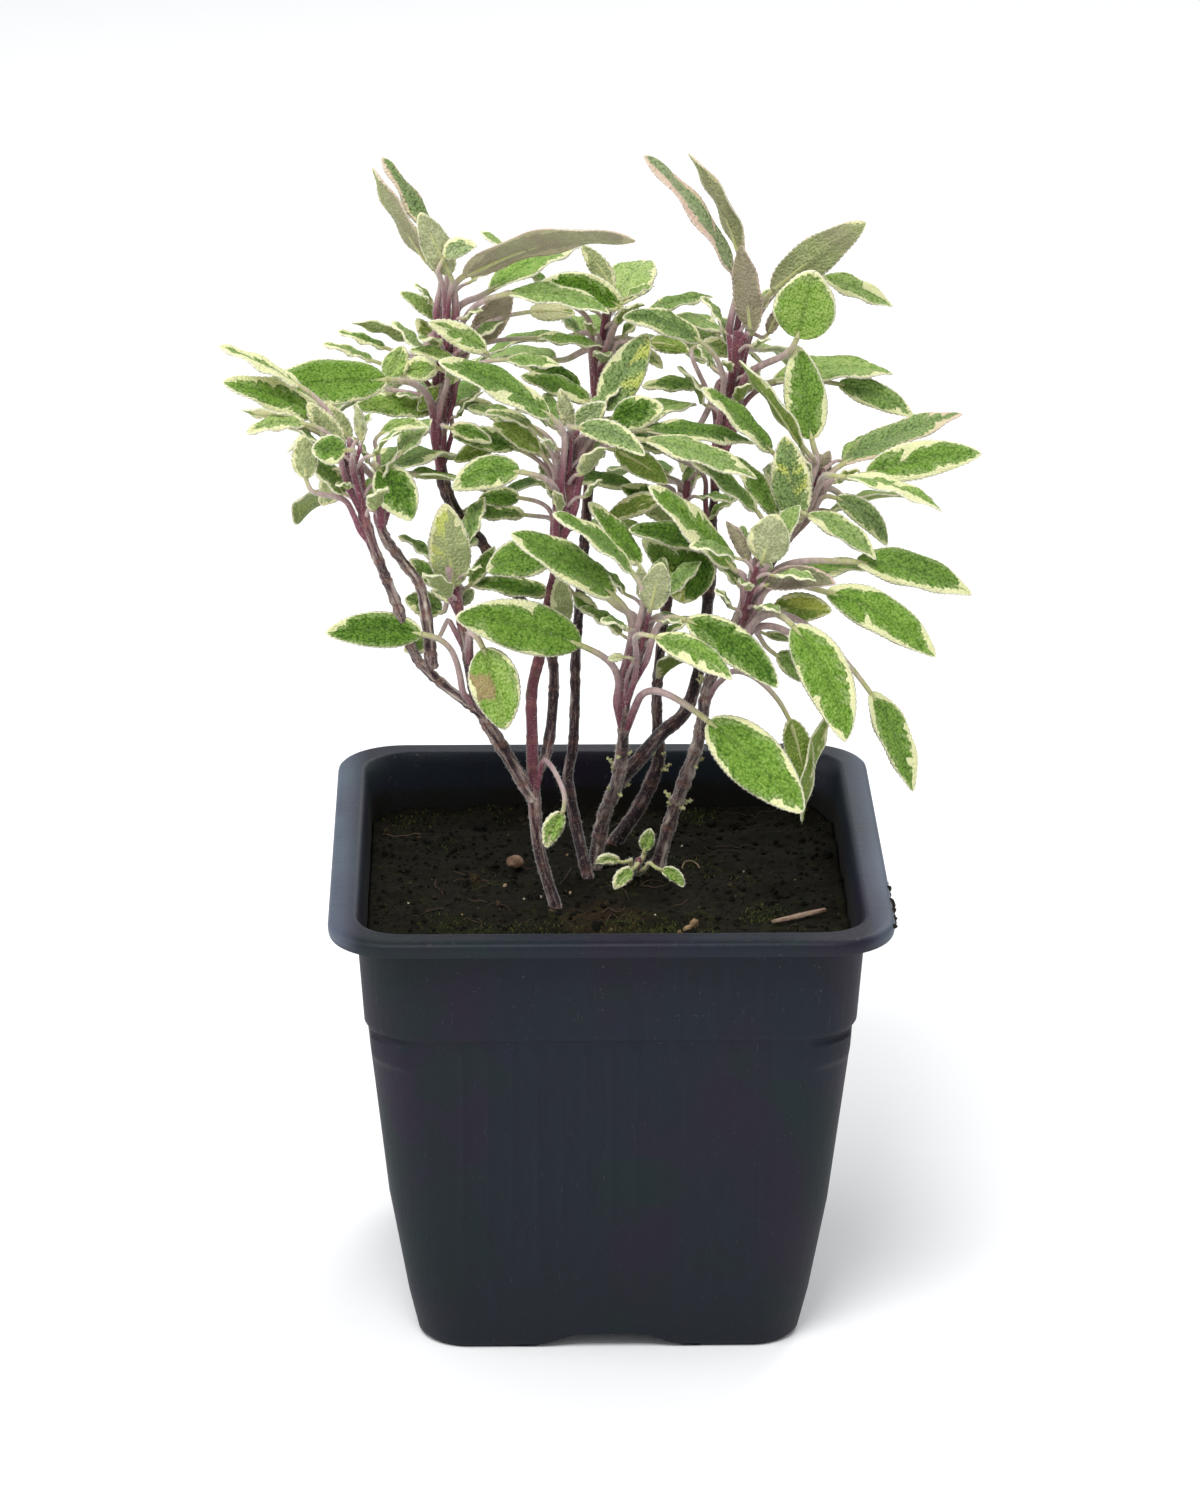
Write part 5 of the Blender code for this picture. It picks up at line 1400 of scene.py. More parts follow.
# %% Stem finish
def stem_finish():
    """Return the finish of the stems: purple-red skin that turns to grey-brown wood."""
    made = Finish("sage_stem", Roughness=0.7, Specular_IOR_Level=0.2, Sheen_Weight=0.7,
                  Sheen_Roughness=0.35)
    place = made.places()
    across, upward, _ = made.apart(made.attribute("way", "Vector"))
    grain = made.add("ShaderNodeCombineXYZ", {
        0: across * 1.5, 1: upward * 1.5, 2: made.attribute("travel") * 0.16})
    grain = made.noise(grain, 1.0, 4.0, 0.6)
    patch = made.noise(place, 0.4, 3.0, 0.6)
    fine = made.noise(place, 3.0, 3.0, 0.6)
    pale = made.attribute("pale")
    bark = made.ramp(grain * 1.3 + (patch + fine) * 0.3 - 0.75 + pale * 0.5, (0.2, (28, 20, 26)),
                     (0.42, (64, 46, 52)), (0.58, (136, 116, 110)), (0.82, (214, 202, 188)))
    skin = made.mix((grain - 0.5) * 1.6 + 0.5, (62, 22, 38), (140, 84, 94))
    skin = made.mix((patch - 0.55).step(0.0, 0.2) * 0.4, skin, (120, 116, 84))
    wood = (made.attribute("bark") + (patch - 0.5) * 0.5).step(0.2, 0.7)
    lichen = (made.noise(place, 1.3, 3.0, 0.7) - 0.62).step(0.0, 0.07) * (0.25 + pale * 0.5)
    body = made.mix(wood, skin, made.mix(lichen, bark, (176, 168, 132)))
    scar = made.mix(wood, (150, 100, 92), made.mix(fine, (70, 40, 38), (156, 112, 96)))
    made.feed("Base Color", made.mix(made.attribute("ring") * (0.05 + pale), body, scar))
    made.feed("Roughness", 0.5 + grain * 0.3)
    made.relief(grain * 0.6 + fine * 0.4, 0.35)
    return made

# %% Stem tree
def stem_tree(finish):
    """Return the tree that sweeps the stems and roughens their wood."""
    tree = Grower("stem_tubes", Sides=14, Step=0.34 * MM, Rough=0.08 * MM)
    place = tree.add("GeometryNodeInputPosition")
    ring = tree.add("GeometryNodeCurvePrimitiveCircle", {0: tree.given("Sides"), 4: 1.0})
    ring = tree.keep(ring, "way", place, "FLOAT_VECTOR")
    tube = tree.sweep(tree.add("GeometryNodeMeshToCurve", {0: tree.given()}), ring)
    rough = tree.noise(tree.stretch(place, (1500, 1500, 420)), 1.0, 3.0, 0.6)
    rough = (rough - 0.5) * (tree.stored("bark") + 0.25) * tree.given("Rough") * 2
    push = tree.vector("SCALE", tree.add("GeometryNodeInputNormal"), rough)
    return tree.end(tree.move(tube, push), finish)

# %% Stems
stem_tubes = stem_tree(stem_finish())
for stem in dict.fromkeys(shoot.stem for shoot in SHOOTS.values()):
    lines = Lines()
    for key, shoot in SHOOTS.items():
        if shoot.stem != stem:
            continue
        habit = HABITS[key]
        radii = [CROWN_RADIUS if entry[3] >= CROWN_FROM else entry[3] for entry in shoot.route]
        route = list(routes[key])
        if shoot.route[0][2] is None:
            down = (route[0] - route[1]).normalized()
            route = [route[0] + down * STEM_DEPTH] + route
            radii = [radii[0] * 1.25] + radii
        spots, thick = smooth_route(route, radii)
        travel = np.arange(len(spots)) * STEM_STEP
        share = travel / travel[-1]
        lean = travel / habit.ring_step + 0.2 * np.sin(travel * 0.35)
        near = np.abs(lean - np.round(lean)) * habit.ring_step
        groove = np.exp(-(near / 0.28) ** 2)
        collar = np.exp(-((near - 0.8) / 0.6) ** 2)
        fade = np.clip((1 - share) / 0.2, 0, 1)
        thick = thick * (1 - STEM_TAPER * share) + habit.ring_high * (collar - 0.5 * groove) * fade
        thick[-1] *= 0.5
        lines.add(spots, thick=thick, ring=np.exp(-(near / 0.42) ** 2) * fade, pale=habit.pale,
                  bark=habit.wood * np.clip((habit.wood_end + 0.15 - share) / 0.3, 0, 1),
                  travel=travel + 40.0 * len(lines.verts))
    wood = lines.make(stem + "_wood", stem_tubes, stem)
    stand_hairs(wood, stem + "_wood_hairs", stem, 90 + len(stem), Density=2.0e6, Short=0.2 * MM,
                Long=0.5 * MM)

# %% [markdown]
# Side buds break from the old wood where leaves have dropped. Each is a tuft of tiny folded leaves
# at a node. The pixel of each tuft is known, so its place is the one on the stem nearest to the
# sight line.

# %% Bud tufts
BUDS = {"front": (((618, 788), 3), ((610, 764), 2), ((624, 751), 2)),
        "right": (((668, 800), 2), ((687, 806), 2), ((703, 765), 2)),
        "back_right": (((657, 752), 2), ((674, 772), 2)), "upper_right": (((676, 718), 3),)}
BUD_REACH = (1.3, 2.3)
BUD_FOOT = 1.1            # how far from the middle of the stem a bud's leaf starts
BUD_LOOK = Look(0.6, 0.0, 0.0, 0.1)
BUD_SEED = 8


def leaflet(spot, rise, away, lift, reach, start):
    """Return a small leaf that grows out of a stem's side."""
    base = spot + away * start
    tip = base + (away + rise * lift).normalized() * reach
    along = (tip - base).normalized()
    normal = (rise - along * rise.dot(along)).normalized()
    return Placed(base, tip, normal * (0.1 * reach), reach * 0.5, normal, away, spot, rise)


dice = random.Random(BUD_SEED)
for key, tufts in BUDS.items():
    blades = Blades()
    for pixel, count in tufts:
        ray = sight(*pixel).normalized()
        place = nearest_place(routes[key], lambda spot: (spot - EYE).cross(ray).length, 400)
        spot, rise = along_route(routes[key], place)
        seen = EYE + ray * (spot - EYE).dot(ray)
        out = (BACK + (seen - spot)).normalized()
        out = (out - rise * out.dot(rise)).normalized()
        for step in range(count):
            turn = (step - (count - 1) / 2) * 1.2 + dice.uniform(-0.3, 0.3)
            away = Matrix.Rotation(turn, 3, rise) @ out
            blades.add(leaflet(spot, rise, away, dice.uniform(0.1, 1.1), dice.uniform(*BUD_REACH),
                               BUD_FOOT), BUD_LOOK)
    blades.make(key + "_buds", SHOOTS[key].stem, stalk_skin)

# %% [markdown]
# ## Leaves deep in the crowns
#
# Behind the leaves in front, the photograph shows parts of others. None of them is seen whole, so
# the solids leave them out. They are read off in the same way as the others and get the same
# blades and stalks.

# %% Inner leaves
INNER_LEAVES = {
    "centre": (
        (668, 484, 614, 450, 28, UNDER, 6, 10, 3, 7.5, "green"),
        (452, 436, 516, 448, 26, TOP, 4, 6, 4, 7.1, "dark"),
        (492, 424, 540, 452, 24, UNDER, 0, 2, 4, 7.1, "olive"),
        (506, 358, 580, 388, 22, TOP, 16, 18, 5, 7.7, "dark"),
        (520, 376, 590, 402, 22, TOP, 10, 13, 4, 7.6, "striped"),
        (468, 584, 550, 594, 22, TOP, 0, -2, 4, 5.6, "dark"),
        (454, 462, 500, 440, 22, UNDER, 10, 8, 2, 7.0, "olive")),
    "left": (
        (328, 404, 350, 440, 20, UNDER, -10, -10, 0, 9.0, "grey"),),
    "tall": (
        (477, 247, 444, 258, 22, TOP, 2, 0, 6, 10.0, "pale"),
        (352, 408, 432, 412, 26, TOP, 10, 6, 6, 9.0, "bright"),
        (418, 412, 438, 386, 18, UNDER, 8, 8, 0, 9.1, "olive"),
        (500, 412, 458, 404, 16, TOP, 10, 12, 3, 9.0, "striped")),
    "back_right": (
        (620, 486, 688, 524, 30, TOP, 14, 12, 4, 7.4, "dark"),
        (642, 538, 690, 582, 28, TOP, 6, 4, 0, 7.0, "striped"),
        (606, 520, 662, 498, 24, UNDER, 8, 8, 3, 7.6, "green")),
    "upper_right": (
        (732, 456, 778, 516, 24, TOP, 8, 8, 2, 3.3, "striped"),),
}
for key, rows in INNER_LEAVES.items():
    blades = Blades()
    lines = Lines()
    for entry in map(read_leaf, rows):
        leaf = place_leaf(entry, routes[key])
        blades.add(leaf, LOOKS[entry.look])
        add_stalk(lines, leaf, entry, routes[key], HABITS[key].purple)
    blades.make(key + "_inner_blades", SHOOTS[key].stem, blade_skin)
    lines.make(key + "_inner_stalks", stalk_tubes, SHOOTS[key].stem)

# %% [markdown]
# ## Young leaves in the axils
#
# Above each stalk's foot a sage carries small young leaves on a short shoot. They fill the crown.
# They turn round the shoot by the angle that keeps each one clear of the one below.

# %% Axil leaves
AXIL_SPAN = 1.1           # how far down the route from its top they stand
AXIL_REACH = (4.5, 10.0)
AXIL_START = (2.5, 5.0)
AXIL_TURN = math.radians(137.5)
AXIL_SEED = 21
dice = random.Random(AXIL_SEED)
for key, points in routes.items():
    young = HABITS[key].young
    if not young:
        continue
    blades = Blades()
    lines = Lines()
    for step in range(young):
        spot, rise = along_route(points, len(points) - 1 - AXIL_SPAN * (step + 0.3) / young)
        level = rise.orthogonal().normalized()
        away = Matrix.Rotation(step * AXIL_TURN + dice.uniform(-0.3, 0.3), 3, rise) @ level
        reach, start = dice.uniform(*AXIL_REACH), dice.uniform(*AXIL_START)
        leaf = leaflet(spot + rise * (start * 0.7), rise, away, dice.uniform(0.2, 1.2), reach,
                       start)
        blades.add(leaf, Look(0.62 + dice.uniform(-0.1, 0.1), 0.3, 0.05, dice.uniform(0.15, 0.6)))
        middle = (spot + leaf.base) / 2 + rise * (start * 0.2)
        lines.add([spot, middle, leaf.base, midrib(leaf, 0.2)], thick=(0.4, 0.34, 0.3, 0.12),
                  dusk=(0.7, 0.5, 0.1, 0.0))
    blades.make(key + "_axil_blades", SHOOTS[key].stem, blade_skin)
    lines.make(key + "_axil_stalks", stalk_tubes, SHOOTS[key].stem)

# %% [markdown]
# ## The pot
#
# A square nursery pot is one thin moulding of black plastic: it widens upwards, has shallow ribs
# on each side, lugs at the corners that stop stacked pots from jamming, a step, and a rim that is
# rolled over for strength. Each ring of points here is a rounded square at one height, pushed out
# where a rib or a lug passes. The raised channels and the drain holes are cut out afterwards.

# %% Measures of the pot
RIM_HALF = 50.0
WALL = 0.9
CHANNEL_HALF = 15.6
CHANNEL_HIGH = 2.9
CHANNEL_RUN = 11.0        # how far each side of the channel takes to rise
CHANNEL_FINE = 41
DRAIN_RADIUS = 4.0
DRAIN_REACH = 17.0
DRAIN_SIDES = 32
FLOOR_CORNER = 7.4
FLUTES_PER_SIDE = 13
FLUTE_PITCH = 4.4
FLUTE_HALF = 1.1
FLUTE_PROUD = 0.4
FLUTE_LEVELS = (9.0, 28.0, 63.0)
LUG_START = (math.radians(12), math.radians(27))
LUG_STOP = (math.radians(63), math.radians(78))
LUG_PROUD = 0.6
CORNER_FINE = 14
FLUTE_FINE = 6            # points across one rib and the gap beside it
SHARP_EDGE = math.radians(40)
# Height, half width and corner radius, on the wall and then round the rim as the eye follows it
WALL_PROFILE = (
    (0.0, 34.0, 8.6), (0.9, 34.8, 9.0), (9.0, 36.5, 9.4), (28.0, 39.5, 10.0),
    (60.5, 43.0, 10.6), (64.2, 43.2, 10.7), (65.0, 43.9, 10.9), (84.6, 45.2, 11.0),
)
RIM_FINE = (
    (84.75, 45.6, 11.0), (84.9, 46.4, 11.1), (84.9, 47.8, 11.2), (84.6, 48.35, 11.3),
    (83.5, 48.62, 11.4), (83.15, 48.85, 11.5), (83.1, 49.25, 11.7), (83.2, 49.68, 11.9),
    (83.5, 49.84, 12.0), (84.3, 49.97, 12.0), (84.9, 50.0, 12.0), (85.4, 49.87, 12.0),
    (85.75, 49.55, 11.9), (85.93, 49.1, 11.7), (86.0, 48.5, 11.4), (86.0, 47.3, 10.4),
    (85.97, 46.1, 9.4), (86.0, 45.6, 9.0), (85.93, 45.2, 8.7), (85.7, 44.9, 8.5),
    (85.3, 44.65, 8.4),
)
OUTSIDE_LEVELS = (
    0.0, 0.2, 0.5, 0.9, 2.0, 4.0, 6.5, 9.0, 12.0, 16.0, 22.0, 28.0, 36.0, 44.0, 52.0, 57.4, 57.9,
    58.3, 58.8, 59.4, 59.8, 60.2, 60.5, 60.8, 61.4, 62.4, 63.0, 63.4, 63.7, 64.0, 64.3, 64.5, 64.7,
    64.9, 65.1, 66.0, 70.0, 76.0, 82.0, 84.2, 84.6)
INSIDE_LEVELS = (84.0, 76.0, 65.4, 65.0, 64.6, 64.2, 60.5, 44.0, 28.0, 9.0)

# %% Rings of the pot
def outer_wall(level):
    """Return the outer wall's half width and corner radius at a height."""
    levels, halves, corners = zip(*WALL_PROFILE)
    return float(np.interp(level, levels, halves)), float(np.interp(level, levels, corners))


def ramp(value, low, high):
    """Return 0 below low, 1 above high and a soft step between."""
    share = np.clip((value - low) / (high - low), 0.0, 1.0)
    return share * share * (3 - 2 * share)


def pot_ring(half, corner, level, flute=0.0, lug=0.0):
    """Return one ring round the pot: a rounded square with its ribs and lugs pushed out."""
    straight = half - corner
    rib_zone = FLUTES_PER_SIDE * FLUTE_PITCH / 2
    x = np.linspace(-rib_zone, rib_zone, FLUTES_PER_SIDE * FLUTE_FINE + 1)
    x = x * min(1.0, (straight - 0.3) / rib_zone)
    edge = np.abs(((x / FLUTE_PITCH + 0.5) % 1.0) - 0.5) * FLUTE_PITCH
    out = half + flute * (0.5 + 0.5 * np.cos(np.clip(edge / FLUTE_HALF, 0, 1) * math.pi))
    turn = np.linspace(0, math.pi / 2, CORNER_FINE + 1)
    wrap = lug * ramp(turn, *LUG_START) * (1 - ramp(turn, *LUG_STOP))
    across = np.concatenate([x, straight + (corner + wrap) * np.sin(turn)])
    away = -np.concatenate([out, straight + (corner + wrap) * np.cos(turn)])
    ring = []
    for quarter in range(4):              # a side faces -Y first, then +X, +Y and -X
        angle = quarter * math.pi / 2
        ring.append(np.stack([across * math.cos(angle) - away * math.sin(angle),
                              across * math.sin(angle) + away * math.cos(angle),
                              np.full(len(across), level)], -1))
    return np.concatenate(ring)


def closed_loft(rings):
    """Return points and faces of the closed body that joins rings of equal count."""
    count = len(rings[0])
    steps = np.arange(count)
    after = (steps + 1) % count
    faces = [tuple(reversed(range(count)))]
    for row in range(len(rings) - 1):
        low, high = row * count, (row + 1) * count
        faces += np.stack([low + steps, low + after, high + after, high + steps], -1).tolist()
    last = (len(rings) - 1) * count
    faces.append(tuple(range(last, last + count)))
    return np.concatenate(rings), faces


def pot_rings():
    """Return the rings of the whole pot, from the base up, over the rim and down inside."""
    rings = []
    for level in OUTSIDE_LEVELS:
        flute = FLUTE_PROUD * ramp(level, FLUTE_LEVELS[0] - 1, FLUTE_LEVELS[1])
        flute = flute * (1 - ramp(level, FLUTE_LEVELS[2] - 0.3, FLUTE_LEVELS[2] + 0.3))
        lug = LUG_PROUD * ramp(level, 57.6, 59.4) * (1 - ramp(level, 63.0, 63.7))
        rings.append(pot_ring(*outer_wall(level), level, flute, lug))
    rings += [pot_ring(half, corner, level) for level, half, corner in RIM_FINE]
    for level in INSIDE_LEVELS:
        half, corner = outer_wall(level)
        rings.append(pot_ring(half - WALL, corner - WALL, level))
    half, corner = outer_wall(WALL)
    rings.append(pot_ring(half - WALL, corner - WALL, 2 * WALL))
    rings.append(pot_ring(half - 2 * WALL, FLOOR_CORNER, WALL))
    return rings

# %% Channels and drain holes
def crossed_bars(extra, reach, low=-1.0):
    """Return two arched bars that cross, larger than the raised channels by an amount."""
    half = CHANNEL_HALF + extra
    rise = (CHANNEL_HIGH + extra) * ramp(half - np.abs(np.linspace(half, -half, CHANNEL_FINE)),
                                         0.0, CHANNEL_RUN)
    arch_x = np.concatenate([[-half, half], np.linspace(half, -half, CHANNEL_FINE)])
    arch_z = np.concatenate([[low, low], np.maximum(rise, low + 0.01)])
    ends = [np.stack([arch_x, np.full(len(arch_x), end), arch_z], -1) for end in (-reach, reach)]
    turned = [end[:, (1, 0, 2)] for end in ends]
    return [new_mesh("bar", *closed_loft(pair)) for pair in (turned, ends[::-1])]


def drain_peg(x, y):
    """Return the cutter of one drain hole."""
    turn = np.linspace(0, math.tau, DRAIN_SIDES, endpoint=False)
    rings = [np.stack([x + DRAIN_RADIUS * np.cos(turn), y + DRAIN_RADIUS * np.sin(turn),
                       np.full(DRAIN_SIDES, level)], -1) for level in (0.4, 7.0)]
    return new_mesh("peg", *closed_loft(rings))


def combine(thing, others, operation):
    """Join or cut an object with others, keep the result and remove the others."""
    group = bpy.data.collections.new("tools")
    scene.collection.children.link(group)
    for other in others:
        scene.collection.objects.unlink(other)
        group.objects.link(other)
    modifier = thing.modifiers.new(operation, "BOOLEAN")
    modifier.operand_type = "COLLECTION"
    modifier.collection = group
    modifier.operation = operation
    modifier.solver = "MANIFOLD"
    take_result(thing, modifier)
    for other in others:
        bpy.data.objects.remove(other, do_unlink=True)
    bpy.data.collections.remove(group)

# %% Pot finish
def pot_finish():
    """Return the finish of black moulded plastic, with scuffs, dust, dried soil and a painted
    reflection on the side lips.
    """
    made = Finish("black_plastic", Roughness=0.45, Specular_IOR_Level=0.24)
    place = made.places()
    streak = made.noise(made.stretch(place, (1.0, 1.0, 0.05)), 0.7, 3.0, 0.6)
    cloud = made.noise(place, 0.045, 3.0, 0.6)
    other = made.noise(made.stretch(place, (1.0, 1.0, 0.4)), 0.04, 2.0)
    fine = made.noise(place, 2.5, 2.0, 0.5)
    x, y, z = made.apart(place)
    body = made.mix(cloud * 0.5 + streak * 0.5, (4, 7, 15), (22, 32, 47))
    body = made.mix((other - 0.48).step(0.0, 0.14) * 0.65, body, (28, 16, 36))
    body = made.mix((cloud - 0.52).step(0.0, 0.12) * 0.6, body, (8, 30, 28))
    body = made.mix(z.step(40.0, 4.0) * 0.4, body, (14, 19, 24))
    dust = (made.noise(place, 0.8, 5.0, 0.7) - 0.62).step(0.0, 0.12)
    dust = dust * (z.step(55.0, 86.0) * 0.3 + 0.05)
    scratch = made.noise(made.stretch(place, (3.0, 3.0, 0.25)), 0.9, 3.0, 0.7)
    dust = dust + (scratch - 0.66).step(0.0, 0.08) * 0.16
    body = made.mix(dust, body, (110, 108, 106))
    lip = z.step(82.5, 84.5)
    # Painted reflection: the left and right lips are lighter, where side light grazes the rolled
    # rim.
    painted_lip_reflection = lip * (x * x).step(43.5 ** 2, 49.5 ** 2) * (0.3 + cloud * 1.2)
    body = made.mix(painted_lip_reflection * 0.7, body, (92, 102, 118))
    # How far from the middle, counted as the wall runs: straight sides and round corners
    straight = (z - 65.0) * 0.0612 + 33.0
    over_x, over_y = ((side.size() - straight).larger(0.0) for side in (x, y))
    away = (over_x * over_x + over_y * over_y) ** 0.5 + straight
    between = (z - 65.0) * 0.0663 + 43.45
    inside = away.step(between + 0.2, between - 0.2) * z.step(65.0, 67.0)
    film = z.step(84.0, 77.0) + (cloud - 0.5) * 1.5 + (fine - 0.5) * 0.6
    film = inside * film.step(0.3, 0.9)
    body = made.mix(film * 0.85, body, made.mix(fine, (10, 8, 4), (26, 22, 12)))
    made.feed("Base Color", body)
    made.feed("Roughness", 0.5 + fine * 0.08 + dust * 0.3 + cloud * 0.16 - lip * 0.12 + film * 0.3)
    made.relief(fine * 0.3 + streak * 0.7, 0.14)
    return made

# %% Pot
pot = new_mesh("nursery_pot", *closed_loft(pot_rings()))
combine(pot, crossed_bars(WALL, outer_wall(WALL)[0] - 0.3, 0.3), "UNION")
combine(pot, crossed_bars(0.0, RIM_HALF), "DIFFERENCE")
drains = [(x * DRAIN_REACH, y * DRAIN_REACH) for x, y in ((0, 0), (-1, 0), (1, 0), (0, -1), (0, 1))]
combine(pot, [drain_peg(x, y) for x, y in drains], "DIFFERENCE")
pot.data.shade_smooth()
pot.data.set_sharp_from_angle(angle=SHARP_EDGE)
finish_piece(pot, "pot", pot_finish())

# %% [markdown]
# ## The soil
#
# Potting soil is a dark, crumbly mix of peat and bark. Its body is one closed form whose top is a
# fine grid with bumps of three sizes. Crumbs, grains and fibres that lie loose on it come from
# Geometry Nodes, which scatter a few plain forms over it.

# %% Surface of the soil
SOIL_BUMP = 0.45
SOIL_RELIEF = 0.75
SOIL_EDGE_CORNER = 9.5
SOIL_CELLS = 130
GAP = 0.3
SLACK = WALL + GAP


def soil_height(x, y):
    """Return the soil's height above the ground at a place."""
    bumps = math.sin(x * 0.31 + 1.2) * math.cos(y * 0.27) + 0.6 * math.sin(x * 0.13 - y * 0.53)
    return SOIL_TOP + SOIL_BUMP * bumps


def soil_relief(x, y):
    """Return the height of the crumbled surface at a place."""
    spot = Vector((x, y, 0.0))
    lumps = noise.noise(spot * 0.16) * 0.9 + noise.noise(spot * 0.42 + Vector((5, 3, 1))) * 0.55
    crumbs = abs(noise.noise(spot * 1.05 + Vector((1, 7, 2)))) * 0.55
    grit = noise.noise(spot * 2.6 + Vector((4, 4, 4))) * 0.18
    return soil_height(x, y) + SOIL_RELIEF * (lumps + crumbs + grit) - 0.15


def soil_edge(direction):
    """Return how far the soil reaches in a direction from the middle."""
    half = outer_wall(SOIL_TOP)[0] - WALL - GAP
    straight = half - SOIL_EDGE_CORNER
    away = Vector((abs(direction.x), abs(direction.y)))
    big, small = max(away), min(away)
    reach = half / big
    if small * reach > straight:
        corner = Vector((straight, straight))
        along = away.dot(corner)
        inside = along * along - corner.length_squared + SOIL_EDGE_CORNER ** 2
        reach = along + math.sqrt(max(inside, 0.0))
    return reach

# %% Soil body
def grid_faces(cells):
    """Return the faces of a square grid of points."""
    wide = cells + 1
    corners = [row * wide + column for row in range(cells) for column in range(cells)]
    return [(here, here + 1, here + wide + 1, here + wide) for here in corners]


def make_soil_body():
    """Return the points and faces of the soil: a grid on top, sides and an underside."""
    verts = []
    cells, wide = SOIL_CELLS, SOIL_CELLS + 1
    for row in range(wide):
        for column in range(wide):
            spot = Vector((column / cells * 2 - 1, row / cells * 2 - 1))
            if spot.length > 0:
                share = max(abs(spot.x), abs(spot.y))
                spot = spot.normalized() * (share * soil_edge(spot.normalized()))
            verts.append((spot.x, spot.y, soil_relief(spot.x, spot.y)))
    faces = grid_faces(cells)
    border = list(range(wide)) + [row * wide + cells for row in range(1, wide)]
    border += [cells * wide + column for column in reversed(range(cells))]
    border += [row * wide for row in reversed(range(1, cells))]
    ring = border
    for level in (64.2, 60.5, 28.0, 9.0, SLACK + WALL, SLACK):
        inset = SLACK + WALL * (level < 2 * WALL)
        scale = (outer_wall(level)[0] - inset) / (outer_wall(SOIL_TOP)[0] - SLACK)
        below = list(range(len(verts), len(verts) + len(border)))
        verts += [(verts[index][0] * scale, verts[index][1] * scale, level) for index in border]
        for step in range(len(border)):
            after = (step + 1) % len(border)
            faces.append((ring[after], ring[step], below[step], below[after]))
        ring = below
    faces.append(tuple(reversed(ring)))
    return verts, faces

# %% Soil finish
def soil_finish():
    """Return the finish of dark moist soil with moss tints."""
    made = Finish("potting_soil", Roughness=0.92, Specular_IOR_Level=0.08)
    place = made.places()
    big = made.noise(place, 0.12, 4.0, 0.65)
    mid = made.noise(place, 0.7, 4.0, 0.7)
    fine = made.noise(place, 3.5, 3.0, 0.6)
    body = made.ramp(mid * 0.6 + fine * 0.45, (0.25, (7, 7, 4)), (0.48, (18, 17, 10)),
                     (0.66, (34, 31, 20)), (0.88, (80, 68, 46)))
    x, y, _ = made.apart(place)
    moss = (big + (y * -0.004) - 0.52).step(0.0, 0.16) * (mid - 0.4).step(0.0, 0.25) * 0.75
    body = made.mix(moss, body, made.mix(fine, (20, 24, 5), (50, 54, 16)))
    warm = 40.0 - x * x * 0.35 - (y + 14) * (y + 14) * 0.3 + (big - 0.5) * 90
    body = made.mix(warm.step(0.0, 50.0) * 0.4, body, made.mix(mid, (22, 14, 9), (82, 58, 40)))
    made.feed("Base Color", body)
    made.feed("Roughness", 0.75 + mid * 0.25)
    made.relief(mid * 0.5 + fine * 0.5, 0.5)
    return made

# %% Soil
soil = new_mesh("soil_body", *make_soil_body())
combine(soil, crossed_bars(SLACK, RIM_HALF), "DIFFERENCE")
soil.data.shade_smooth()
finish_piece(soil, "soil", soil_finish())

# %% [markdown]
# ## What lies on the soil
#
# One tree scatters crumbs: it puts points on a copy of the soil's top, stands a low icosphere on
# each with its own turn and size, and then pushes the realized points by a noise, so no two crumbs
# look alike. The same tree with other sizes gives larger lumps, and a second one gives moss.

# %% Trees for crumbs, grains and moss
def rough_forms(tree, points, size):
    """Stand rough round forms on points, each turned and stretched by chance."""
    ball = tree.add("GeometryNodeMeshIcoSphere", {0: 1.0, 1: tree.given("Level")})
    turn = tree.chance((0.0, 0.0, 0.0), (6.3, 6.3, 6.3), 12)
    stretch = tree.vector("SCALE", tree.chance((0.6, 0.6, 0.5), (1.3, 1.2, 0.9), 13), size)
    forms = tree.add("GeometryNodeRealizeInstances", {0: tree.stand(points, ball, turn, stretch)})
    knots = tree.noise(tree.add("GeometryNodeInputPosition"), 1100.0).output("Color")
    push = tree.vector("SUBTRACT", knots, (0.5, 0.5, 0.5))
    return tree.move(forms, tree.vector("SCALE", push, tree.given("Rough")))


def crumb_tree(finish):
    """Return a tree that scatters rough forms over a bed."""
    tree = Grower("crumbs", Density=3.0e5, Small=0.25 * MM, Large=1.1 * MM, Rough=0.5 * MM,
                  Seed=3, Level=1)
    points = tree.sow(tree.given("Density") * tree.stored("open"))
    points = tree.keep(points, "shade", tree.chance(0.0, 1.0, 5) ** 1.6)
    share = tree.chance(0.0, 1.0, 6) ** 4
    size = tree.given("Small") + (tree.given("Large") - tree.given("Small")) * share
    return tree.end(rough_forms(tree, points, size), finish, False)


def grain_tree(finish):
    """Return a tree that stands one rough form on each point of a mesh."""
    tree = Grower("grains", Level=3, Rough=0.5 * MM)
    points = tree.add("GeometryNodeMeshToPoints", {0: tree.given()})
    return tree.end(rough_forms(tree, points, tree.stored("size") * MM), finish)


def moss_tree(finish):
    """Return a tree that stands small leaflets of moss where the bed says so."""
    tree = Grower("moss", Density=4.0e6, Seed=5)
    points = tree.sow(tree.given("Density") * tree.stored("moss"))
    points = tree.keep(points, "shade", tree.chance(0.0, 1.0, 5))
    cone = tree.add("GeometryNodeMeshCone", {0: 4, 1: 1, 3: 0.0, 4: 0.13 * MM, 5: 1.0 * MM},
                    fill_type="NONE")
    turn = tree.chance((-0.9, -0.9, 0.0), (0.9, 0.9, 6.3), 7)
    return tree.end(tree.stand(points, cone, turn, tree.chance(0.4, 1.0, 8)), finish)

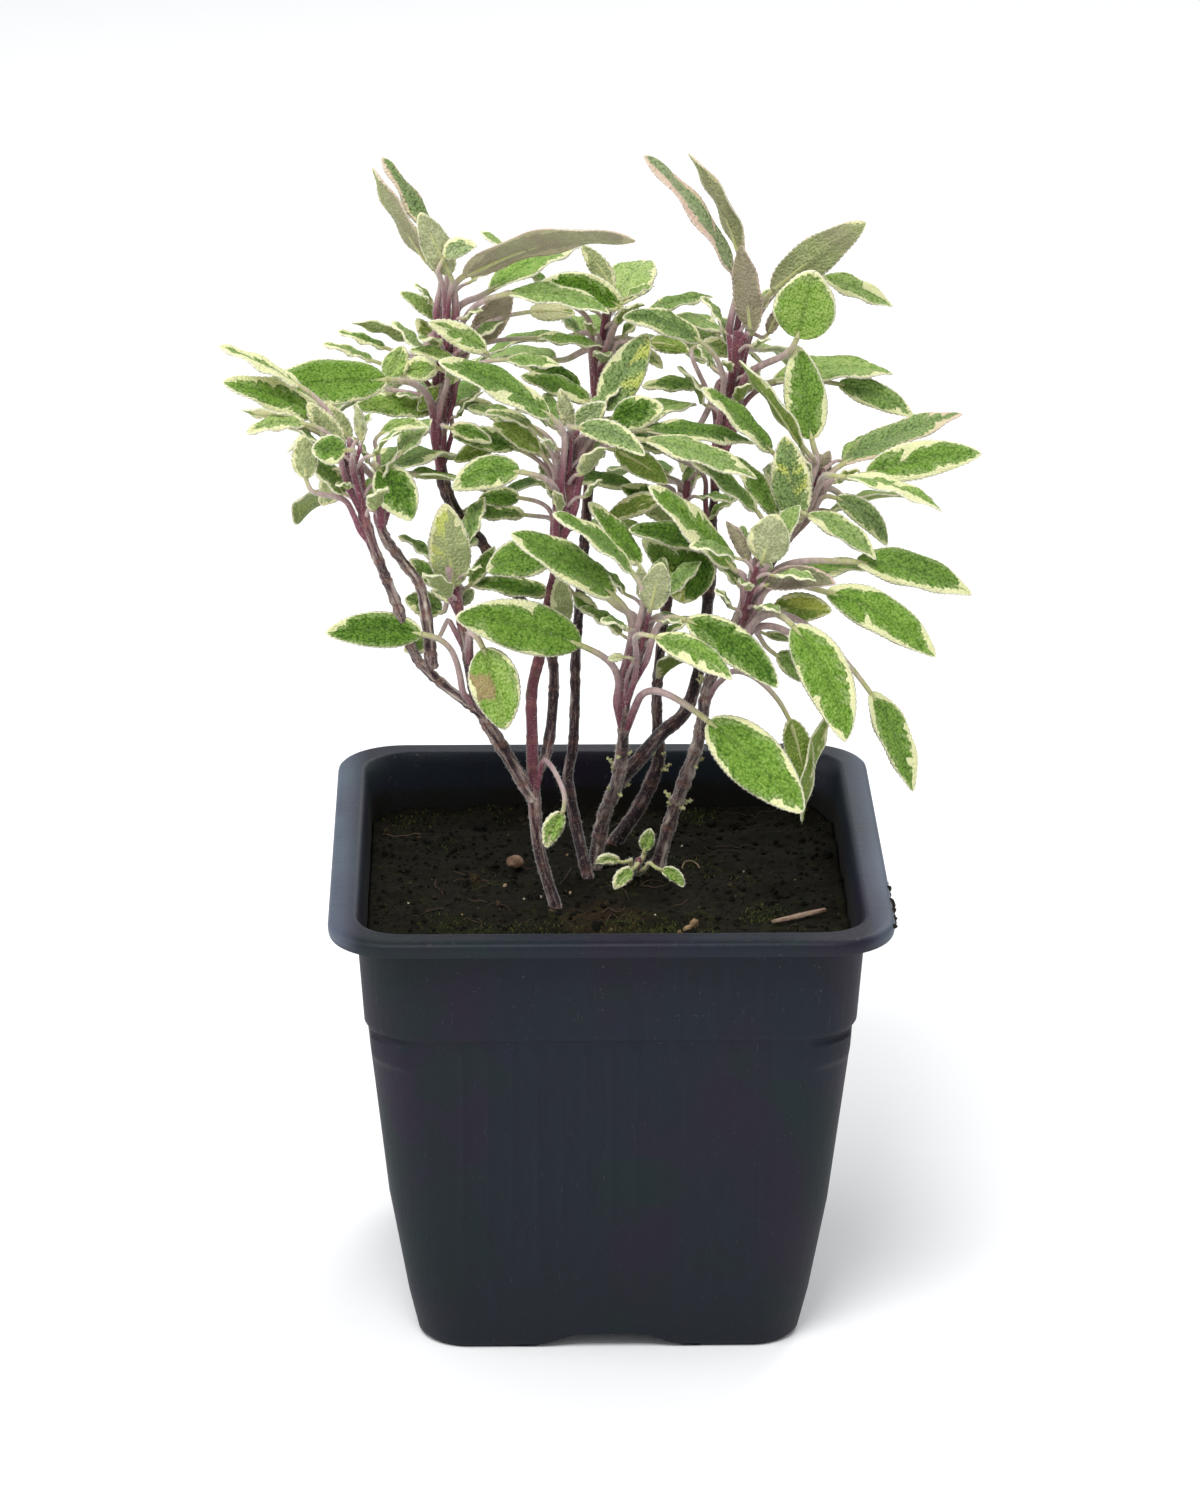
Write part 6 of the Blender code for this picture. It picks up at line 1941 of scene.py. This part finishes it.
# %% Finishes of crumbs, grains and moss
def shaded_finish(name, roughness, *stops):
    """Return a finish whose colour follows the number stored on each form."""
    made = Finish(name, Roughness=roughness, Specular_IOR_Level=0.12)
    fine = made.noise(made.places(), 2.5, 3.0, 0.6)
    shade = made.attribute("shade") * 0.8 + (fine - 0.5) * 0.6 + 0.1
    made.feed("Base Color", made.ramp(shade, *stops))
    made.relief(fine, 0.25)
    return made


crumb_skin = shaded_finish("soil_crumb", 0.9, (0.0, (10, 9, 5)), (0.5, (21, 19, 12)),
                           (0.85, (38, 33, 22)), (1.0, (92, 78, 56)))
moss_skin = shaded_finish("moss", 0.7, (0.0, (22, 26, 8)), (0.5, (42, 48, 17)), (1.0, (92, 98, 46)))
perlite_skin = shaded_finish("perlite", 0.8, (0.0, (96, 70, 46)), (0.35, (150, 124, 94)),
                             (1.0, (206, 198, 180)))
crumb_forms = crumb_tree(crumb_skin)
moss_forms = moss_tree(moss_skin)
print("finishes and trees for crumbs, grains and moss ready")

# %% [markdown]
# The bed is a copy of the soil's top without its rim, so no crumb comes through the pot's wall.
# Moss grows where a slow noise is high, mostly near the front, where light reaches the soil.

# %% Crumbs, lumps and moss
BED_HALF = 43.0
BED_CORNER = 8.0
BED_CELLS = 60
MOSS_PATCH = 0.075
SCATTERED = {
    "soil_crumbs": {"Density": 2.9e5, "Large": 0.9 * MM, "Seed": 3},
    "soil_lumps": {"Density": 1.2e4, "Small": 0.6 * MM, "Large": 1.9 * MM, "Rough": 1.2 * MM,
                   "Level": 2, "Seed": 9},
}


def bed(name):
    """Make the bed on which loose things are scattered."""
    steps = np.linspace(-BED_HALF, BED_HALF, BED_CELLS + 1)
    verts, moss, clear = [], [], []
    for y in steps:
        for x in steps:
            over = Vector([max(abs(side) - BED_HALF + BED_CORNER, 0) for side in (x, y)])
            inside = float(over.length < BED_CORNER - 1.0)
            verts.append((x, y, soil_relief(x, y)))
            patch = noise.noise(Vector((x * MOSS_PATCH, y * MOSS_PATCH, 3.3))) - 0.006 * (y + 12)
            patch += 0.25 * noise.noise(Vector((x * 0.4, y * 0.4, 1.3)))
            moss.append(inside * min(max(patch * 2.6 - 0.1, 0.0), 1.0))
            clear.append(inside)
    return new_mesh(name, verts, grid_faces(BED_CELLS), moss=moss, open=clear)


for name, inputs in SCATTERED.items():
    finish_piece(grow(bed(name), crumb_forms, **inputs), "soil")
finish_piece(grow(bed("moss_leaflets"), moss_forms, Density=5.4e6), "soil")

# %% [markdown]
# ## Perlite, tan bits and lumps on the rim
#
# The pale grains, the tan bits and the dried lumps that stick to the rim are few, so each one has
# its own place, size and shade. A point of a mesh carries these three, and one tree makes the
# forms.

# %% Grains at their places
PERLITE_AT = (((567, 855), 0.45), ((505, 886), 0.55), ((570, 893), 0.5), ((524, 899), 0.45),
              ((541, 897), 0.35), ((682, 846), 0.35), ((462, 915), 0.35), ((612, 930), 0.4),
              ((744, 872), 0.35), ((795, 880), 0.3), ((408, 903), 0.4), ((655, 915), 0.35))
TAN_AT = (((687, 929), 1.1), ((694, 924), 0.8), ((679, 934), 0.7))
# Dried soil on the rim: the pixel's row tells how far back it sits, then height and size
RIM_LUMPS = ((884, 84.6, 0.5), (890, 85.0, 0.7), (896, 84.2, 0.8), (901, 85.2, 0.8),
             (906, 84.3, 0.9), (911, 85.0, 0.8), (915, 83.9, 0.8), (919, 84.9, 0.9),
             (923, 84.1, 0.7), (927, 85.1, 0.6))
RIM_SIDE = 49.75
RIM_COLUMN = 888
ROUGH_LUMP = 1.0 * MM


def on_soil(pixel, lift=0.0):
    """Return the place on the soil that is seen at a pixel."""
    level = SOIL_TOP
    for _ in range(4):
        place = at_level(pixel, level)
        level = soil_relief(place.x, place.y) + lift
    return at_level(pixel, level)


def grains(name, entries, finish, slot, **inputs):
    """Make rough grains of entries that hold a place, a size and a shade."""
    places, sizes, shades = zip(*entries)
    made = new_mesh(name, places, size=sizes, shade=shades)
    finish_piece(grow(made, grain_tree(finish), **inputs), slot)


grains("perlite_grains", [(on_soil(pixel, size * 0.1), size * 0.75, 0.3 + 0.12 * (step % 6))
                          for step, (pixel, size) in enumerate(PERLITE_AT)], perlite_skin, "soil")
grains("tan_bits", [(on_soil(pixel, size * 0.2), size, 0.3 - 0.12 * step)
                    for step, (pixel, size) in enumerate(TAN_AT)],
       perlite_skin, "soil", Rough=ROUGH_LUMP)
grains("rim_lumps", [((RIM_SIDE, at_level((RIM_COLUMN, row), high).y, high), size, 0.8)
                     for row, high, size in RIM_LUMPS], crumb_skin, "pot", Rough=ROUGH_LUMP)

# %% [markdown]
# ## Roots
#
# Fine pale roots and bits of fibre lie on peat. They are lines swept by the same kind of tree as
# the stalks, thin and wavy.

# %% Roots and fibres
ROOTS = (
    (((682, 868), (685, 862), (691, 861), (697, 864), (699, 868)), 0.16, 0.8),
    (((603, 912), (609, 908), (617, 912), (625, 908)), 0.12, 0.45),
    (((607, 921), (612, 914), (620, 919), (624, 914)), 0.11, 0.4),
    (((560, 884), (566, 877), (571, 868)), 0.12, 0.4),
    (((640, 886), (650, 880), (663, 882)), 0.12, 0.35),
    (((545, 866), (552, 873), (548, 882)), 0.1, 0.3))
FIBRES = 48
FIBRE_STEP = 1.3
FIBRE_SEED = 17
root_skin = shaded_finish("root", 0.7, (0.0, (26, 19, 15)), (0.5, (74, 58, 46)),
                          (1.0, (168, 144, 116)))
dice = random.Random(FIBRE_SEED)
lines = Lines()
for pixels, thick, shade in ROOTS:
    lines.add([on_soil(pixel, 0.3 + 0.25 * (step % 2)) for step, pixel in enumerate(pixels)],
              thick=thick, shade=shade)
for _ in range(FIBRES):
    spot = Vector((dice.uniform(-38, 38), dice.uniform(-38, 38), 0))
    turn = dice.uniform(0, math.tau)
    line = []
    for step in range(dice.randint(4, 7)):
        level = soil_relief(spot.x, spot.y) + 0.12 + 0.25 * (step % 2)
        line.append(Vector((spot.x, spot.y, level)))
        turn += dice.uniform(-0.6, 0.6)
        spot = spot + Vector((math.cos(turn), math.sin(turn), 0)) * FIBRE_STEP
    lines.add(line, thick=dice.uniform(0.05, 0.11), shade=dice.uniform(0.0, 0.6))
lines.make("roots", tube_tree("root_tubes", root_skin, 5, 0.5), "soil", "soil")

# %% [markdown]
# ## Pebble and bark chip
#
# Both replace a solid of their own, so each is as large as that solid and lies where it lies. The
# pebble is a ball pushed in and out by a slow noise. The chip is split along its grain, so its
# sections share the same ridges from end to end.

# %% Pebble
PEBBLE_SIDES = 40
PEBBLE_LEVELS = 24


def box_of(node):
    """Return the lower and upper corner of a solid, in millimetres."""
    spots = [vert.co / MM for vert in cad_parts[node].data.vertices]
    return [Vector([pick(spot[axis] for spot in spots) for axis in range(3)])
            for pick in (min, max)]


def stone_finish():
    """Return the finish of the dull pebble."""
    made = Finish("pebble_stone", Roughness=0.75, Specular_IOR_Level=0.35)
    place = made.places()
    cloud = made.noise(place, 0.7, 4.0, 0.65)
    speck = made.noise(place, 5.0, 2.0, 0.6)
    made.feed("Base Color", made.ramp(cloud * 0.8 + speck * 0.25, (0.25, (62, 44, 34)),
                                      (0.5, (116, 88, 68)), (0.75, (168, 138, 112))))
    made.feed("Roughness", 0.6 + speck * 0.3)
    made.relief(speck * 0.5 + cloud, 0.25)
    return made


low, high = box_of("pebble")
middle, reach = (low + high) / 2, (high - low) / 2
rings = []
for step in range(1, PEBBLE_LEVELS):
    tilt = math.pi * step / PEBBLE_LEVELS - math.pi / 2
    ring = []
    for side in range(PEBBLE_SIDES):
        turn = math.tau * side / PEBBLE_SIDES
        way = Vector((math.cos(tilt) * math.cos(turn), math.cos(tilt) * math.sin(turn),
                      math.sin(tilt)))
        push = 0.94 + 0.1 * noise.noise(way * 1.3 + Vector((2, 5, 1))) + 0.03 * noise.noise(way * 5)
        ring.append([way[axis] * reach[axis] * push + middle[axis] for axis in range(3)])
    rings.append(np.array(ring))
pebble = new_mesh("round_pebble", *closed_loft(rings))
pebble.data.shade_smooth()
finish_piece(pebble, "pebble", stone_finish())

# %% Bark chip
CHIP_ENDS = ((772, 921), (826, 909))
CHIP_WIDE = 1.6
CHIP_THICK = 0.8
CHIP_STEPS = 44
CHIP_SIDES = 28
CHIP_BLUNT = 0.6          # lower values make its section more like a box


def chip_finish():
    """Return the finish of dry bark, striped along its grain."""
    made = Finish("dry_bark", Roughness=0.8, Specular_IOR_Level=0.3)
    grain = made.stretch(made.attribute("chip", "Vector"), (0.25, 2.6, 2.6))
    grain = made.noise(grain, 1.0, 4.0, 0.7)
    patch = made.noise(made.places(), 0.6, 3.0, 0.6)
    made.feed("Base Color", made.ramp(grain * 0.75 + patch * 0.3, (0.25, (60, 42, 36)),
                                      (0.45, (126, 98, 82)), (0.6, (186, 160, 138)),
                                      (0.85, (228, 208, 186))))
    made.feed("Roughness", 0.7 + grain * 0.2)
    made.relief(grain, 0.35)
    return made


def blunt(wave):
    """Push a wave towards its ends, so that a round section gets corners."""
    return math.copysign(abs(wave) ** CHIP_BLUNT, wave)


low, high = box_of("bark_chip")
start, end = (at_level(pixel, SOIL_TOP + 1.0) for pixel in CHIP_ENDS)
along = end - start
side = along.cross(UPRIGHT).normalized()
rings, grain_places = [], []
for step in range(CHIP_STEPS + 1):
    share = step / CHIP_STEPS
    wide = math.sin(math.pi * min(max(0.08 + 0.84 * share, 0), 1)) ** 0.8
    wide = CHIP_WIDE / 2 * (0.25 + 0.75 * wide)
    wide *= 0.94 + 0.1 * noise.noise(Vector((share * 9, 0, 4)))
    bend = 0.12 * math.sin(share * 5.0)
    ring = []
    for corner in range(CHIP_SIDES):
        turn = math.tau * corner / CHIP_SIDES
        across, upward = blunt(math.cos(turn)), blunt(math.sin(turn))
        ridge = 0.86 + 0.22 * noise.noise(Vector((across * 3.0, upward * 3.0, share * 1.2)))
        out = across * wide * ridge * (1.0 - 0.12 * upward) + bend
        place = start + along * share + side * out
        place.z = (low.z + high.z) / 2 + upward * CHIP_THICK / 2 * ridge * (
            0.55 + 0.45 * wide / CHIP_WIDE * 2)
        ring.append(list(place))
        grain_places.append((share * along.length, across * wide * 2, upward))
    rings.append(np.array(ring))
chip = new_mesh("split_bark", *closed_loft(rings), chip=grain_places)
chip.data.shade_smooth()
finish_piece(chip, "bark_chip", chip_finish())

# %% [markdown]
# ## Hand over
#
# The pieces now stand for the solids. The two boxes are kept so that they can be compared.

# %% Print the boxes and finish
low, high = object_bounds()
{"cad": [list(cad_low), list(cad_high)], "visual": [list(low), list(high)]}
print("visual box", [round(value * 1000, 2) for value in (*low, *high)])
print("solid box", [round(value * 1000, 2) for value in (*cad_low, *cad_high)])
